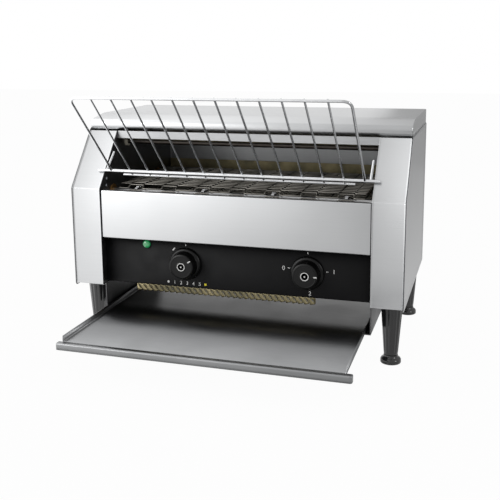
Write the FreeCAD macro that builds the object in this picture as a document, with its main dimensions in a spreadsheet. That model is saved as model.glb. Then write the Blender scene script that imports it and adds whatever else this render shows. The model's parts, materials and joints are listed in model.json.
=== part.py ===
import FreeCAD, Part
import math
import os
import Sketcher
from FreeCAD import Placement, Rotation, Vector

# Conveyor toaster for a counter. Millimetres. The floor is z = 0 and the front faces -Y.
# Pieces are drawn with y = 0 on the front plane of the side covers. Every finished piece is then
# moved by the same amount, so that the origin is under the middle of the whole toaster.

doc = FreeCAD.newDocument("conveyor_toaster")
sheet = doc.addObject("Spreadsheet::Sheet", "sizes")
row = [0]


class Dim:
    """A length that holds its number and the formula in sheet cells that gives it."""

    def __init__(self, number, formula):
        self.number = float(number)
        self.formula = formula

    def __add__(self, other):
        other = dim(other)
        return Dim(self.number + other.number, f"({self.formula} + {other.formula})")

    def __sub__(self, other):
        other = dim(other)
        return Dim(self.number - other.number, f"({self.formula} - {other.formula})")

    def __mul__(self, other):
        other = dim(other)
        return Dim(self.number * other.number, f"({self.formula} * {other.formula})")

    def __truediv__(self, other):
        other = dim(other)
        return Dim(self.number / other.number, f"({self.formula} / {other.formula})")

    def __radd__(self, other):
        return dim(other) + self

    def __rsub__(self, other):
        return dim(other) - self

    def __rmul__(self, other):
        return dim(other) * self

    def __neg__(self):
        return Dim(-self.number, f"(0 - {self.formula})")

    def root(self):
        return Dim(math.sqrt(self.number), f"sqrt({self.formula})")


def dim(value):
    return value if isinstance(value, Dim) else Dim(value, repr(float(value)))


def size(name, number):
    """Writes one driving dimension into the sheet and returns it."""
    row[0] += 1
    cell = f"A{row[0]}"
    sheet.set(cell, str(number))
    sheet.setAlias(cell, name)
    return Dim(number, f"sizes.{name}")


# Casing
case_width = size("case_width", 475)
case_depth = size("case_depth", 268)
cover_width = size("cover_width", 43)
case_base = size("case_base", 85)
crease_height = size("crease_height", 227)
case_top = size("case_top", 304)
slope_setback = size("slope_setback", 63)
skin = size("skin", 1.2)
fit_gap = size("fit_gap", 0.3)

# Lid
lid_seam = size("lid_seam", 2.5)
lid_height = size("lid_height", 20)
lid_shoulder = size("lid_shoulder", 7)
lid_nose_run = size("lid_nose_run", 40)
lid_nose_radius = size("lid_nose_radius", 9)
lid_crown_radius = size("lid_crown_radius", 120)
header_height = size("header_height", 11)
header_return = size("header_return", 12)

# Inner frame
plate_thick = size("plate_thick", 1.5)
plate_offset = size("plate_offset", 0.5)
rail_thick = size("rail_thick", 2)
rail_end_gap = size("rail_end_gap", 8)
crossbar_depth = size("crossbar_depth", 14)
crossbar_height = size("crossbar_height", 10)

# Front
front_panel_top = size("front_panel_top", 225)
front_panel_base = size("front_panel_base", 156)
front_panel_setback = size("front_panel_setback", 1.5)
front_panel_side_gap = size("front_panel_side_gap", 1.2)
control_recess = size("control_recess", 15)
control_base = size("control_base", 87)
control_overlap = size("control_overlap", 10)
control_box_depth = size("control_box_depth", 46)
control_return = size("control_return", 12)
front_panel_return = size("front_panel_return", 7.2)
front_panel_ear = size("front_panel_ear", 2)
ramp_drop = size("ramp_drop", 5)

# Crumb guard under the control panel
guard_left_gap = size("guard_left_gap", 44.5)
guard_right_gap = size("guard_right_gap", 77.5)
guard_drop = size("guard_drop", 11)
guard_depth = size("guard_depth", 34)
guard_setback = size("guard_setback", 5)
slot_pitch = size("slot_pitch", 8.5)
slot_width = size("slot_width", 3)
slot_length = size("slot_length", 7)

# Conveyor
shaft_height = size("shaft_height", 217)
idler_setback = size("idler_setback", 44)
drive_setback = size("drive_setback", 206)
belt_radius = size("belt_radius", 12)
belt_wire = size("belt_wire", 2)
belt_side_gap = size("belt_side_gap", 15)
belt_flick = size("belt_flick", 5)
shaft_radius = size("shaft_radius", 5)
bush_wall = size("bush_wall", 3)
bush_flange = size("bush_flange", 2)
running_gap = size("running_gap", 0.08)
sprocket_thick = size("sprocket_thick", 4)
sprocket_tooth = size("sprocket_tooth", 2.2)
sprocket_clearance = size("sprocket_clearance", 1.9)

# Chain drive in the right side
chain_offset = size("chain_offset", 32.5)
chain_width = size("chain_width", 5)
chain_thick = size("chain_thick", 4)
chain_tooth = size("chain_tooth", 3)
driven_radius = size("driven_radius", 20)
driver_radius = size("driver_radius", 12.5)
motor_setback = size("motor_setback", 150)
motor_drop = size("motor_drop", 40)
motor_radius = size("motor_radius", 30)
motor_length = size("motor_length", 24)
motor_shaft_radius = size("motor_shaft_radius", 3.5)
motor_boss = size("motor_boss", 3)
motor_bore_depth = size("motor_bore_depth", 12)
shaft_end_gap = size("shaft_end_gap", 2)

# Heating
element_radius = size("element_radius", 4)
element_pitch = size("element_pitch", 45)
upper_element_setback = size("upper_element_setback", 95)
upper_element_height = size("upper_element_height", 285)
lower_element_setback = size("lower_element_setback", 80)
lower_element_height = size("lower_element_height", 190)
ceramic_radius = size("ceramic_radius", 7)
ceramic_length = size("ceramic_length", 14)
reflector_clearance = size("reflector_clearance", 8)
reflector_front = size("reflector_front", 13)
reflector_back = size("reflector_back", 13)
reflector_lip = size("reflector_lip", 8)

# Discharge slide behind and under the conveyor
slide_gap = size("slide_gap", 5)
slide_top = size("slide_top", 236)
slide_knee = size("slide_knee", 150)
slide_toe_height = size("slide_toe_height", 64)
slide_toe_setback = size("slide_toe_setback", 150)
slide_bend_setback = size("slide_bend_setback", 225)
slide_bend_height = size("slide_bend_height", 90)
slide_tab_width = size("slide_tab_width", 12)
slide_tab_drop = size("slide_tab_drop", 10)

# Tray
tray_reach = size("tray_reach", 138)
tray_overhang = size("tray_overhang", 0.5)
tray_wall_inset = size("tray_wall_inset", 8)
tray_floor = size("tray_floor", 47)
tray_wall = size("tray_wall", 8)
tray_lip = size("tray_lip", 9)
tray_back = size("tray_back", 158)
runner_width = size("runner_width", 12)
runner_flange = size("runner_flange", 9)
runner_overrun = size("runner_overrun", 20)

# Legs
leg_inset = size("leg_inset", 18.5)
leg_front = size("leg_front", 33)
leg_back = size("leg_back", 243)
leg_bore_overrun = size("leg_bore_overrun", 10)
leg_top_radius = size("leg_top_radius", 15)
leg_neck_radius = size("leg_neck_radius", 9.5)
foot_radius = size("foot_radius", 14)
foot_height = size("foot_height", 7)
foot_neck = size("foot_neck", 5)
foot_shoulder = size("foot_shoulder", 2)
stud_radius = size("stud_radius", 4)
stud_length = size("stud_length", 30)
bolt_length = size("bolt_length", 22)
nut_radius = size("nut_radius", 7)
nut_height = size("nut_height", 6)

# Loading rack
rack_rod_radius = size("rack_rod_radius", 2.3)
rack_frame_radius = size("rack_frame_radius", 2)
rack_wire_radius = size("rack_wire_radius", 1.5)
rack_rest_height = size("rack_rest_height", 250)
rack_reach = size("rack_reach", 111)
rack_rise = size("rack_rise", 111)
rack_tail = size("rack_tail", 12)
rack_side_gap = size("rack_side_gap", 12.5)
rack_rod_overhang = size("rack_rod_overhang", 8)
rack_corner = size("rack_corner", 12)
rack_stay = size("rack_stay", 30)
rack_stay_gap = size("rack_stay_gap", 5)

# Controls
knob_height = size("knob_height", 122.5)
speed_knob_x = size("speed_knob_x", -70)
selector_knob_x = size("selector_knob_x", 107)
knob_base_radius = size("knob_base_radius", 23.5)
knob_base_thick = size("knob_base_thick", 6)
knob_foot_radius = size("knob_foot_radius", 19)
knob_cap_radius = size("knob_cap_radius", 18)
knob_length = size("knob_length", 20)
knob_gap = size("knob_gap", 0.8)
spindle_grip = size("spindle_grip", 10)
socket_depth = size("socket_depth", 12)
lamp_rise = size("lamp_rise", 3.5)
spindle_radius = size("spindle_radius", 3)
spindle_hole = size("spindle_hole", 3.3)
switch_size = size("switch_size", 32)
switch_depth = size("switch_depth", 34)
lamp_x = size("lamp_x", -130)
lamp_height = size("lamp_height", 147)
lamp_radius = size("lamp_radius", 6)
lamp_body_radius = size("lamp_body_radius", 4.5)
lamp_body_length = size("lamp_body_length", 26)

# Electrics and cooling
fan_size = size("fan_size", 32)
fan_depth = size("fan_depth", 15)
fan_height = size("fan_height", 118)
gland_reach = size("gland_reach", 12)
gland_height = size("gland_height", 104)
gland_radius = size("gland_radius", 9)
gland_bore = size("gland_bore", 4.5)
gland_nut = size("gland_nut", 6)
gland_step = size("gland_step", 2)
terminal_length = size("terminal_length", 60)
terminal_height = size("terminal_height", 24)
terminal_depth = size("terminal_depth", 20)
terminal_base = size("terminal_base", 115)
terminal_setback = size("terminal_setback", 160)
thermostat_radius = size("thermostat_radius", 9)
thermostat_depth = size("thermostat_depth", 14)
thermostat_height = size("thermostat_height", 247)
thermostat_setback = size("thermostat_setback", 80)
screw_head_radius = size("screw_head_radius", 3.6)
screw_head = size("screw_head", 1.8)
rear_screw_inset = size("rear_screw_inset", 9)
rear_screw_margin = size("rear_screw_margin", 14)
rivet_radius = size("rivet_radius", 2.6)
rivet_head = size("rivet_head", 1.2)
rivet_setback = size("rivet_setback", 25)
rivet_height = size("rivet_height", 233)
rivet_pitch = size("rivet_pitch", 10)
vent_width = size("vent_width", 4)
vent_length = size("vent_length", 40)
vent_pitch = size("vent_pitch", 22)
vent_top = size("vent_top", 222)
vent_row_gap = size("vent_row_gap", 18)

doc.recompute()

half_width = case_width / 2
bay = half_width - cover_width
plate_inner = bay + plate_offset
plate_outer = plate_inner + plate_thick
belt_half_width = plate_inner - belt_side_gap
rack_half_width = bay - rack_side_gap
tray_half_width = bay + tray_overhang
guard_left = bay - guard_left_gap
guard_right = bay - guard_right_gap
chain_plane = plate_outer + chain_offset
motor_height = lower_element_height - motor_drop
cavity_outer = half_width - skin
seat = plate_inner - fit_gap
lid_base = case_top + lid_seam
lid_top = lid_base + lid_height
centring = (tray_reach - case_depth - gland_reach) / 2
slope_rise = case_top - crease_height
slope_length = (slope_rise * slope_rise + slope_setback * slope_setback).root()

ALONG = {
    "X": Rotation(Vector(0, 1, 0), 90),
    "Y": Rotation(Vector(1, 0, 0), -90),
    "Z": Rotation(),
}
nodes = []


def bind(thing, prop, value):
    value = dim(value)
    if "sizes." in value.formula:
        thing.setExpression(prop, value.formula)
    else:
        thing.setExpression(prop, None)
        head, _, tail = prop.rpartition(".")
        if head:
            place = FreeCAD.Placement(thing.Placement)
            setattr(place.Base, tail, value.number)
            thing.Placement = place
        else:
            setattr(thing, prop, value.number)


def put(thing, x, y, z):
    """Binds where a thing stands, and remembers its y for the last shift."""
    bind(thing, "Placement.Base.x", x)
    bind(thing, "Placement.Base.y", y)
    bind(thing, "Placement.Base.z", z)
    thing.addProperty("App::PropertyString", "Depth")
    thing.Depth = dim(y).formula


def block(name, x, y, z):
    """A box between a low and a high value on each axis."""
    thing = doc.addObject("Part::Box", name)
    bind(thing, "Length", x[1] - x[0])
    bind(thing, "Width", y[1] - y[0])
    bind(thing, "Height", z[1] - z[0])
    put(thing, x[0], y[0], z[0])
    return thing


def ordered(side, near, far):
    """The low and high X of a span on the right, or of its mirror image on the left."""
    return (near, far) if side > 0 else (-far, -near)


def rod(name, axis, radius, length, x, y, z):
    """A cylinder that starts at x, y, z and runs along an axis."""
    thing = doc.addObject("Part::Cylinder", name)
    thing.Placement = Placement(Vector(), ALONG[axis])
    bind(thing, "Radius", radius)
    bind(thing, "Height", length)
    put(thing, x, y, z)
    return thing


def taper(name, axis, radius1, radius2, length, x, y, z):
    """A cone that starts at x, y, z with radius1 and runs along an axis."""
    thing = doc.addObject("Part::Cone", name)
    thing.Placement = Placement(Vector(), ALONG[axis])
    bind(thing, "Radius1", radius1)
    bind(thing, "Radius2", radius2)
    bind(thing, "Height", length)
    put(thing, x, y, z)
    return thing


def fuse(name, things):
    thing = doc.addObject("Part::MultiFuse", name)
    thing.Shapes = things
    return thing


def cut(name, base, tools):
    thing = doc.addObject("Part::Cut", name)
    thing.Base = base
    thing.Tool = tools[0] if len(tools) == 1 else fuse(name + "_tools", tools)
    return thing


def group(name, things):
    """Separate solids that share one node."""
    thing = doc.addObject("Part::Compound", name)
    thing.Links = things
    return thing


def finish(label, thing):
    """Names a finished piece and moves it by the shared centring shift."""
    thing.Label = label
    shift = centring
    if hasattr(thing, "Depth"):
        shift = Dim(0, thing.Depth) + centring
        thing.setExpression("Placement.Base.y", shift.formula)
    else:
        bind(thing, "Placement.Base.y", shift)
    nodes.append(thing)
    return thing


def solid(label, shape):
    """A piece whose shape comes from Part's own functions."""
    thing = doc.addObject("Part::Feature", label)
    thing.Shape = shape
    thing.addProperty("App::PropertyString", "Depth")
    thing.Depth = repr(thing.Placement.Base.y)
    return finish(label, thing)


def plane(body, role):
    return next(f for f in body.Origin.OriginFeatures if f.Role == role)


def outline(body, name, points):
    """A closed polygon in the YZ plane of a body, with every corner tied to the sheet."""
    sketch = body.newObject("Sketcher::SketchObject", name)
    sketch.AttachmentSupport = [(plane(body, "YZ_Plane"), "")]
    sketch.MapMode = "FlatFace"
    points = [(dim(a), dim(b)) for a, b in points]
    count = len(points)
    for i in range(count):
        start = points[i]
        end = points[(i + 1) % count]
        line = Part.LineSegment(
            Vector(start[0].number, start[1].number, 0),
            Vector(end[0].number, end[1].number, 0),
        )
        sketch.addGeometry(line, False)
    for i in range(count):
        sketch.addConstraint(Sketcher.Constraint("Coincident", i, 2, (i + 1) % count, 1))
    for i in range(count):
        for word, part in (("DistanceX", points[i][0]), ("DistanceY", points[i][1])):
            index = sketch.addConstraint(Sketcher.Constraint(word, -1, 1, i, 1, part.number))
            if "sizes." in part.formula:
                sketch.setExpression(f"Constraints[{index}]", part.formula)
    return sketch


def profile_body(name, points, low_x, high_x):
    """A body padded along X from a YZ outline."""
    body = doc.addObject("PartDesign::Body", name)
    sketch = outline(body, name + "_outline", points)
    pad = body.newObject("PartDesign::Pad", name + "_pad")
    pad.Profile = sketch
    bind(pad, "Length", high_x - low_x)
    bind(body, "Placement.Base.x", low_x)
    doc.recompute()
    return body


def pocket(body, name, points, depth, backwards):
    """Cuts an outline out of a body, starting at its YZ plane or at the far end."""
    sketch = outline(body, name + "_outline", points)
    hollow = body.newObject("PartDesign::Pocket", name)
    hollow.Profile = sketch
    bind(hollow, "Length", depth)
    hollow.Reversed = backwards
    doc.recompute()
    return hollow


def case_outline(inset):
    """The side of the casing, drawn in by an inset all round."""
    inset = dim(inset)
    corner_drop = inset * (slope_length - slope_rise) / slope_setback
    corner_back = inset * (slope_length - slope_setback) / slope_rise
    return [
        (inset, case_base + inset),
        (inset, crease_height - corner_drop),
        (slope_setback + corner_back, case_top - inset),
        (case_depth - inset, case_top - inset),
        (case_depth - inset, case_base + inset),
    ]


def bent_sheet(points, thick, side):
    """The outline of a bent sheet that follows points, with its thickness on one side."""
    path = [(dim(a), dim(b)) for a, b in points]
    count = len(path)
    offset = []
    for i in range(count):
        before = path[max(i - 1, 0)]
        here = path[i]
        after = path[min(i + 1, count - 1)]
        if i == 0:
            before = None
        if i == count - 1:
            after = None
        offset.append(miter(before, here, after, thick * side))
    return path + offset[::-1]


def miter(before, here, after, thick):
    """The corner of a sheet's far face: both neighbouring runs moved out by the thickness."""
    normals = []
    for start, end in ((before, here), (here, after)):
        if start is None or end is None:
            continue
        run = end[0] - start[0]
        rise = end[1] - start[1]
        length = (run * run + rise * rise).root()
        normals.append((-rise / length, run / length))
    if len(normals) == 1:
        normal = normals[0]
        return (here[0] + normal[0] * thick, here[1] + normal[1] * thick)
    first, second = normals
    both = 1 + first[0] * second[0] + first[1] * second[1]
    across = (first[0] + second[0]) / both
    up = (first[1] + second[1]) / both
    return (here[0] + across * thick, here[1] + up * thick)


# Places that several pieces share
leg_x = half_width - leg_inset
leg_places = {
    "front_left": (-leg_x, leg_front),
    "front_right": (leg_x, leg_front),
    "rear_left": (-leg_x, leg_back),
    "rear_right": (leg_x, leg_back),
}
bush_radius = shaft_radius + running_gap + bush_wall
bolt_hole = stud_radius + fit_gap
lid_screw_places = (case_depth * 0.5, case_depth * 0.88)
element_ys = {
    "upper": [upper_element_setback + element_pitch * i for i in range(3)],
    "lower": [lower_element_setback + element_pitch * i for i in range(3)],
}
element_heights = {"upper": upper_element_height, "lower": lower_element_height}


def side_cover(side, sign):
    """A folded sheet box, open towards the machine, with its front folded back at the crease."""
    low = bay if sign > 0 else -half_width
    body = profile_body(f"{side}_cover_shell", case_outline(0), low, low + cover_width)
    cavity = case_outline(skin)
    if sign > 0:
        pocket(body, f"{side}_cover_cavity", cavity, cover_width - skin, True)
    else:
        hollow = pocket(body, f"{side}_cover_cavity", cavity, cover_width, True)
        bind(hollow.Profile[0], "AttachmentOffset.Base.z", skin)
    doc.recompute()
    tools = []
    for place, (x, y) in leg_places.items():
        if place.endswith(side):
            tools.append(rod(f"{side}_cover_{place}_hole", "Z", bolt_hole, skin * 2, x, y,
                             case_base - skin / 2))
    if side == "right":
        tools.append(rod("gland_hole", "Y", gland_radius - gland_step + fit_gap, skin * 2, leg_x,
                         case_depth - skin * 1.5, gland_height))
        for i in range(5):
            z = fan_centre + (i - 2) * vent_slot_pitch
            tools.append(block(f"fan_vent_{i}", (leg_x - fan_size * 0.36, leg_x + fan_size * 0.36),
                               (case_depth - skin * 2, case_depth + skin),
                               (z - vent_width / 2, z + vent_width / 2)))
    return finish(f"{side}_side_cover", cut(f"{side}_cover", body, tools))


fan_centre = fan_height + fan_size / 2
vent_slot_pitch = fan_size / 5


def top_cover():
    """The lid: a folded cap with a rounded front edge and closed ends."""
    nose = slope_setback
    points = [
        (nose, lid_base),
        (nose, lid_top - lid_shoulder),
        (nose + lid_nose_run, lid_top),
        (case_depth, lid_top),
        (case_depth, lid_base),
    ]
    body = profile_body("lid_shell", points, -half_width, half_width)
    pad = body.Tip
    for name, radius, spot in (
        ("lid_nose", lid_nose_radius, points[1]),
        ("lid_crown", lid_crown_radius, points[2]),
    ):
        rounding = body.newObject("PartDesign::Fillet", name)
        rounding.Base = (pad, [edge_along_x(pad.Shape, spot[0].number, spot[1].number)])
        bind(rounding, "Radius", radius)
        doc.recompute()
        pad = rounding
    hollow = body.newObject("PartDesign::Thickness", "lid_hollow")
    hollow.Base = (pad, [face_below(pad.Shape, lid_base.number)])
    bind(hollow, "Value", skin)
    hollow.Reversed = True
    hollow.Join = 1
    doc.recompute()
    return finish("top_cover", body)


def edge_along_x(shape, y, z):
    """The name of the long edge that runs along X at y and z."""
    for i, edge in enumerate(shape.Edges):
        middle = edge.CenterOfMass
        if abs(middle.y - y) < 0.01 and abs(middle.z - z) < 0.01 and edge.BoundBox.XLength > 1:
            return f"Edge{i + 1}"
    raise ValueError("no such edge")


def face_below(shape, z):
    """The name of the flat face that lies at a height."""
    for i, face in enumerate(shape.Faces):
        if abs(face.CenterOfMass.z - z) < 0.01 and face.BoundBox.ZLength < 0.01:
            return f"Face{i + 1}"
    raise ValueError("no such face")


def lid_and_header():
    top_cover()
    front = slope_setback + skin
    points = [
        (front, case_top - fit_gap),
        (front, case_top - fit_gap - header_height),
        (front + header_return, case_top - fit_gap - header_height),
    ]
    header = profile_body("header_sheet", bent_sheet(points, skin, 1), -seat, seat)
    finish("header_strip", header)


def inner_plate(side, sign):
    """The frame plate beside the conveyor, with seats for the bushes and ceramics."""
    low = plate_inner if sign > 0 else -plate_outer
    body = profile_body(f"{side}_plate_blank", case_outline(skin + fit_gap), low, low + plate_thick)
    start = low - plate_thick / 2
    length = plate_thick * 2
    tools = [
        rod(f"{side}_drive_seat", "X", bush_radius, length, start, drive_setback, shaft_height),
        rod(f"{side}_idler_seat", "X", bush_radius, length, start, idler_setback, shaft_height),
    ]
    for level, ys in element_ys.items():
        for i, y in enumerate(ys):
            tools.append(rod(f"{side}_{level}_seat_{i}", "X", ceramic_radius, length, start, y,
                             element_heights[level]))
    return finish(f"{side}_inner_plate", cut(f"{side}_plate", body, tools))


def base_rail(side, sign):
    """The strip inside the side cover that the legs bolt to."""
    low_x = plate_outer + fit_gap if sign > 0 else -cavity_outer + fit_gap
    high_x = cavity_outer - fit_gap if sign > 0 else -plate_outer - fit_gap
    low_z = case_base + skin
    strip = block(f"{side}_rail_strip", (low_x, high_x), (rail_end_gap, case_depth - rail_end_gap),
                  (low_z, low_z + rail_thick))
    tools = []
    for place, (x, y) in leg_places.items():
        if place.endswith(side):
            tools.append(rod(f"{side}_rail_{place}_hole", "Z", bolt_hole, rail_thick * 2, x, y,
                             low_z - rail_thick / 2))
    return finish(f"{side}_base_rail", cut(f"{side}_rail", strip, tools))


def frame_pieces():
    for side, sign in (("left", -1), ("right", 1)):
        side_cover(side, sign)
        inner_plate(side, sign)
        base_rail(side, sign)
    lid_and_header()
    span = (-seat, seat)
    upper = block("rear_crossbar_box", span,
                  (case_depth - skin * 2 - fit_gap * 2 - crossbar_depth, case_depth - skin * 2 - fit_gap * 2),
                  (case_top - skin - fit_gap - crossbar_height, case_top - skin - fit_gap))
    finish("rear_crossbar", upper)
    wall = block("rear_sheet", (-bay + fit_gap, bay - fit_gap),
                 (case_depth - skin - fit_gap, case_depth - fit_gap), (case_base, case_top - fit_gap))
    tools = []
    for level in range(2):
        z = vent_top - vent_length - level * (vent_length + vent_row_gap)
        for i in range(13):
            x = (i - 6) * vent_pitch
            tools.append(block(f"rear_vent_{level}_{i}", (x - vent_width / 2, x + vent_width / 2),
                               (case_depth - skin * 3, case_depth + skin), (z, z + vent_length)))
    finish("rear_panel", cut("rear_panel_vented", wall, tools))


def front_pieces():
    front = front_panel_setback
    back = control_recess - fit_gap
    points = [
        (front + front_panel_return, front_panel_top),
        (front, front_panel_top),
        (front, front_panel_base),
        (back, front_panel_base),
    ]
    face = profile_body("front_panel_sheet", bent_sheet(points, skin, 1),
                        -bay + front_panel_side_gap, bay - front_panel_side_gap)
    ears = []
    for sign in (-1, 1):
        low = bay - front_panel_side_gap - front_panel_ear if sign > 0 else -seat
        high = seat if sign > 0 else -bay + front_panel_side_gap + front_panel_ear
        ears.append(block(f"front_panel_ear_{sign}", (low, high), (back - skin * 4, back),
                          (front_panel_base, front_panel_base + skin)))
    finish("front_panel", fuse("front_panel_whole", [face] + ears))

    control_top = front_panel_base + control_overlap
    points = [
        (control_recess, control_top),
        (control_recess, control_base),
        (control_recess + control_return, control_base),
    ]
    sheet_part = profile_body("control_panel_sheet", bent_sheet(points, plate_thick, 1), -seat, seat)
    holes = []
    through = plate_thick * 2
    start = control_recess - plate_thick / 2
    for name, x in (("speed", speed_knob_x), ("selector", selector_knob_x)):
        holes.append(rod(f"{name}_hole", "Y", spindle_hole, through, x, start, knob_height))
    holes.append(rod("lamp_hole", "Y", lamp_body_radius + fit_gap / 3, through, lamp_x, start, lamp_height))
    finish("control_panel", cut("control_panel_drilled", sheet_part, holes))

    inner = control_recess + plate_thick + fit_gap
    floor_z = control_base + plate_thick + fit_gap
    deep = control_recess + control_box_depth
    points = [
        (inner, floor_z),
        (deep, floor_z),
        (deep, control_top),
        (inner, control_top),
    ]
    box = profile_body("control_box_sheet", bent_sheet(points, skin, 1), -seat, seat)
    finish("control_box", box)

    ramp_front = front_panel_setback + front_panel_return + fit_gap
    ramp_back = idler_setback - belt_radius - belt_flick - fit_gap
    points = [
        (ramp_front, front_panel_top - skin - ramp_drop * 3),
        (ramp_front, front_panel_top - skin),
        (ramp_back, front_panel_top - skin - ramp_drop),
    ]
    ramp = profile_body("loading_ramp_sheet", bent_sheet(points, skin, -1), -seat, seat)
    finish("loading_ramp", ramp)
    crumb_guard()


def crumb_guard():
    """The perforated strip that hangs behind the lower edge of the control panel."""
    front = control_recess + guard_setback
    low = control_base - guard_drop
    points = [
        (front, low),
        (front, control_base - fit_gap),
        (front + guard_depth, control_base - fit_gap),
    ]
    blank = profile_body("crumb_guard_sheet", bent_sheet(points, skin, -1), -guard_left, guard_right)
    count = int((guard_left.number + guard_right.number) / slot_pitch.number) - 1
    slots = []
    for i in range(count):
        x = -guard_left + slot_pitch * (i + 1)
        slot = block(f"guard_slot_{i}", (x - slot_width / 2, x + slot_width / 2),
                     (front - skin, front + skin * 2), (low + skin * 1.2, low + skin * 1.2 + slot_length))
        lean = Rotation(Vector(0, 1, 0), -28)
        slot.Placement = Placement(slot.Placement.Base, lean)
        slots.append(slot)
        slots.append(block(f"guard_top_slot_{i}", (x - slot_width / 2, x + slot_width / 2),
                           (front + slot_length, front + slot_length * 2),
                           (control_base - skin * 3, control_base + skin)))
    finish("crumb_guard", cut("crumb_guard_pierced", blank, slots))


def heating():
    reach = plate_outer + ceramic_length
    for level, ys in element_ys.items():
        z = element_heights[level]
        tubes = []
        ceramics = []
        for i, y in enumerate(ys):
            tubes.append(rod(f"{level}_tube_{i}", "X", element_radius, reach * 2, -reach, y, z))
            for side in (-1, 1):
                start = plate_inner - 4 if side > 0 else -plate_inner + 4 - ceramic_length
                body = rod(f"{level}_ceramic_{i}_{side}", "X", ceramic_radius - running_gap, ceramic_length,
                           start, y, z)
                bore = rod(f"{level}_ceramic_bore_{i}_{side}", "X", element_radius + running_gap,
                           ceramic_length * 2, start - ceramic_length / 2, y, z)
                ceramics.append(cut(f"{level}_ceramic_ring_{i}_{side}", body, [bore]))
        finish(f"{level}_heating_elements", group(f"{level}_elements_set", tubes))
        finish(f"{level}_ceramic_bushes", group(f"{level}_ceramics_set", ceramics))
    top = upper_element_height + element_radius + reflector_clearance
    finish("upper_reflector", reflector("upper", top, -1, 1))
    low = lower_element_height - element_radius - reflector_clearance
    finish("lower_reflector", reflector("lower", low, 1, -1))


def reflector(level, z, lip_sign, side):
    """A shallow trough of sheet that throws heat back at the bread."""
    lip = z + reflector_lip * lip_sign
    front = element_ys[level][0] - reflector_front
    back = element_ys[level][-1] + reflector_back
    points = [
        (front, lip),
        (front + reflector_lip, z),
        (back - reflector_lip, z),
        (back, lip),
    ]
    return profile_body(f"{level}_reflector_sheet", bent_sheet(points, skin, side), -seat, seat)


def belt_point(along):
    """The point of the belt at a length along its closed loop."""
    run = drive_setback.number - idler_setback.number
    radius = belt_radius.number
    turn = math.pi * radius
    along = along % (2 * run + 2 * turn)
    if along < run:
        return idler_setback.number + along, shaft_height.number + radius
    if run + turn < along < 2 * run + turn:
        return drive_setback.number - (along - run - turn), shaft_height.number - radius
    rear = along <= run + turn
    angle = (along - run) / radius if rear else math.pi + (along - 2 * run - turn) / radius
    centre = drive_setback.number if rear else idler_setback.number
    return centre + radius * math.sin(angle), shaft_height.number + radius * math.cos(angle)


BELT_WIRES = 34
BELT_BAYS = 7
BELT_TURN_EASE = 0.35
CRANK_SHARE = 0.42


def belt_wire_face(depth):
    """The outline of one cranked cross wire, drawn flat in X and Y."""
    half = belt_half_width.number
    wire = belt_wire.number
    bay_width = 2 * half / BELT_BAYS
    crank = bay_width * CRANK_SHARE / 2
    path = [(-half, 0)]
    for i in range(BELT_BAYS):
        middle = -half + bay_width * (i + 0.5)
        path += [(middle - crank, 0), (middle - crank, depth), (middle + crank, depth), (middle + crank, 0)]
    path.append((half, 0))
    near = []
    far = []
    for i, (x, y) in enumerate(path):
        step_in = 0 if i in (0, len(path) - 1) else wire / 2 * (1 if i % 4 in (1, 2) else -1)
        near.append(Vector(x + step_in, y - wire / 2, 0))
        far.append(Vector(x - step_in, y + wire / 2, 0))
    corners = near + far[::-1]
    return Part.Face(Part.makePolygon(corners + [corners[0]]))


def conveyor_belt():
    """Cranked cross wires that follow one another round both shafts, each hooked to the next."""
    run = drive_setback.number - idler_setback.number
    length = 2 * run + 2 * math.pi * belt_radius.number
    pitch = length / BELT_WIRES
    wire = belt_wire.number
    strands = []
    for i in range(BELT_WIRES):
        y, z = belt_point(pitch * i)
        next_y, next_z = belt_point(pitch * (i + 1))
        step = math.hypot(next_y - y, next_z - z)
        turning = pitch - step > 0.01
        depth = step - wire - fit_gap.number - (BELT_TURN_EASE if turning else 0)
        bar = belt_wire_face(depth).extrude(Vector(0, 0, wire))
        bar.translate(Vector(0, 0, -wire / 2))
        angle = math.degrees(math.atan2(next_z - z, next_y - y))
        bar.Placement = Placement(Vector(0, y, z), Rotation(Vector(1, 0, 0), angle)) * bar.Placement
        strands.append(bar)
    solid("conveyor_belt", Part.makeCompound(strands))


def sprocket_ring(teeth, outer, root, bore, thick):
    """A flat sprocket about the X axis with round gaps between its teeth."""
    disc = Part.makeCylinder(outer, thick, Vector(0, 0, 0), Vector(1, 0, 0))
    disc = disc.cut(Part.makeCylinder(bore, thick * 3, Vector(-thick, 0, 0), Vector(1, 0, 0)))
    gap = outer - root
    for i in range(teeth):
        angle = 2 * math.pi * (i + 0.5) / teeth
        centre = Vector(-thick, (root + gap) * math.cos(angle), (root + gap) * math.sin(angle))
        disc = disc.cut(Part.makeCylinder(gap, thick * 3, centre, Vector(1, 0, 0)))
    return disc


BELT_TEETH = 8
DRIVEN_TEETH = 16
DRIVER_TEETH = 10


def belt_sprockets(label, setback):
    """The sprockets inside one end of the belt, one in every second bay."""
    outer = belt_radius.number - belt_wire.number / 2 - sprocket_clearance.number
    bay_width = 2 * belt_half_width.number / BELT_BAYS
    rings = []
    for i in range(0, BELT_BAYS, 2):
        x = -belt_half_width.number + bay_width * (i + 0.5)
        ring = sprocket_ring(BELT_TEETH, outer, outer - sprocket_tooth.number, shaft_radius.number,
                             sprocket_thick.number)
        ring.translate(Vector(x - sprocket_thick.number / 2, setback.number, shaft_height.number))
        rings.append(ring)
    solid(label, Part.makeCompound(rings))


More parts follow.
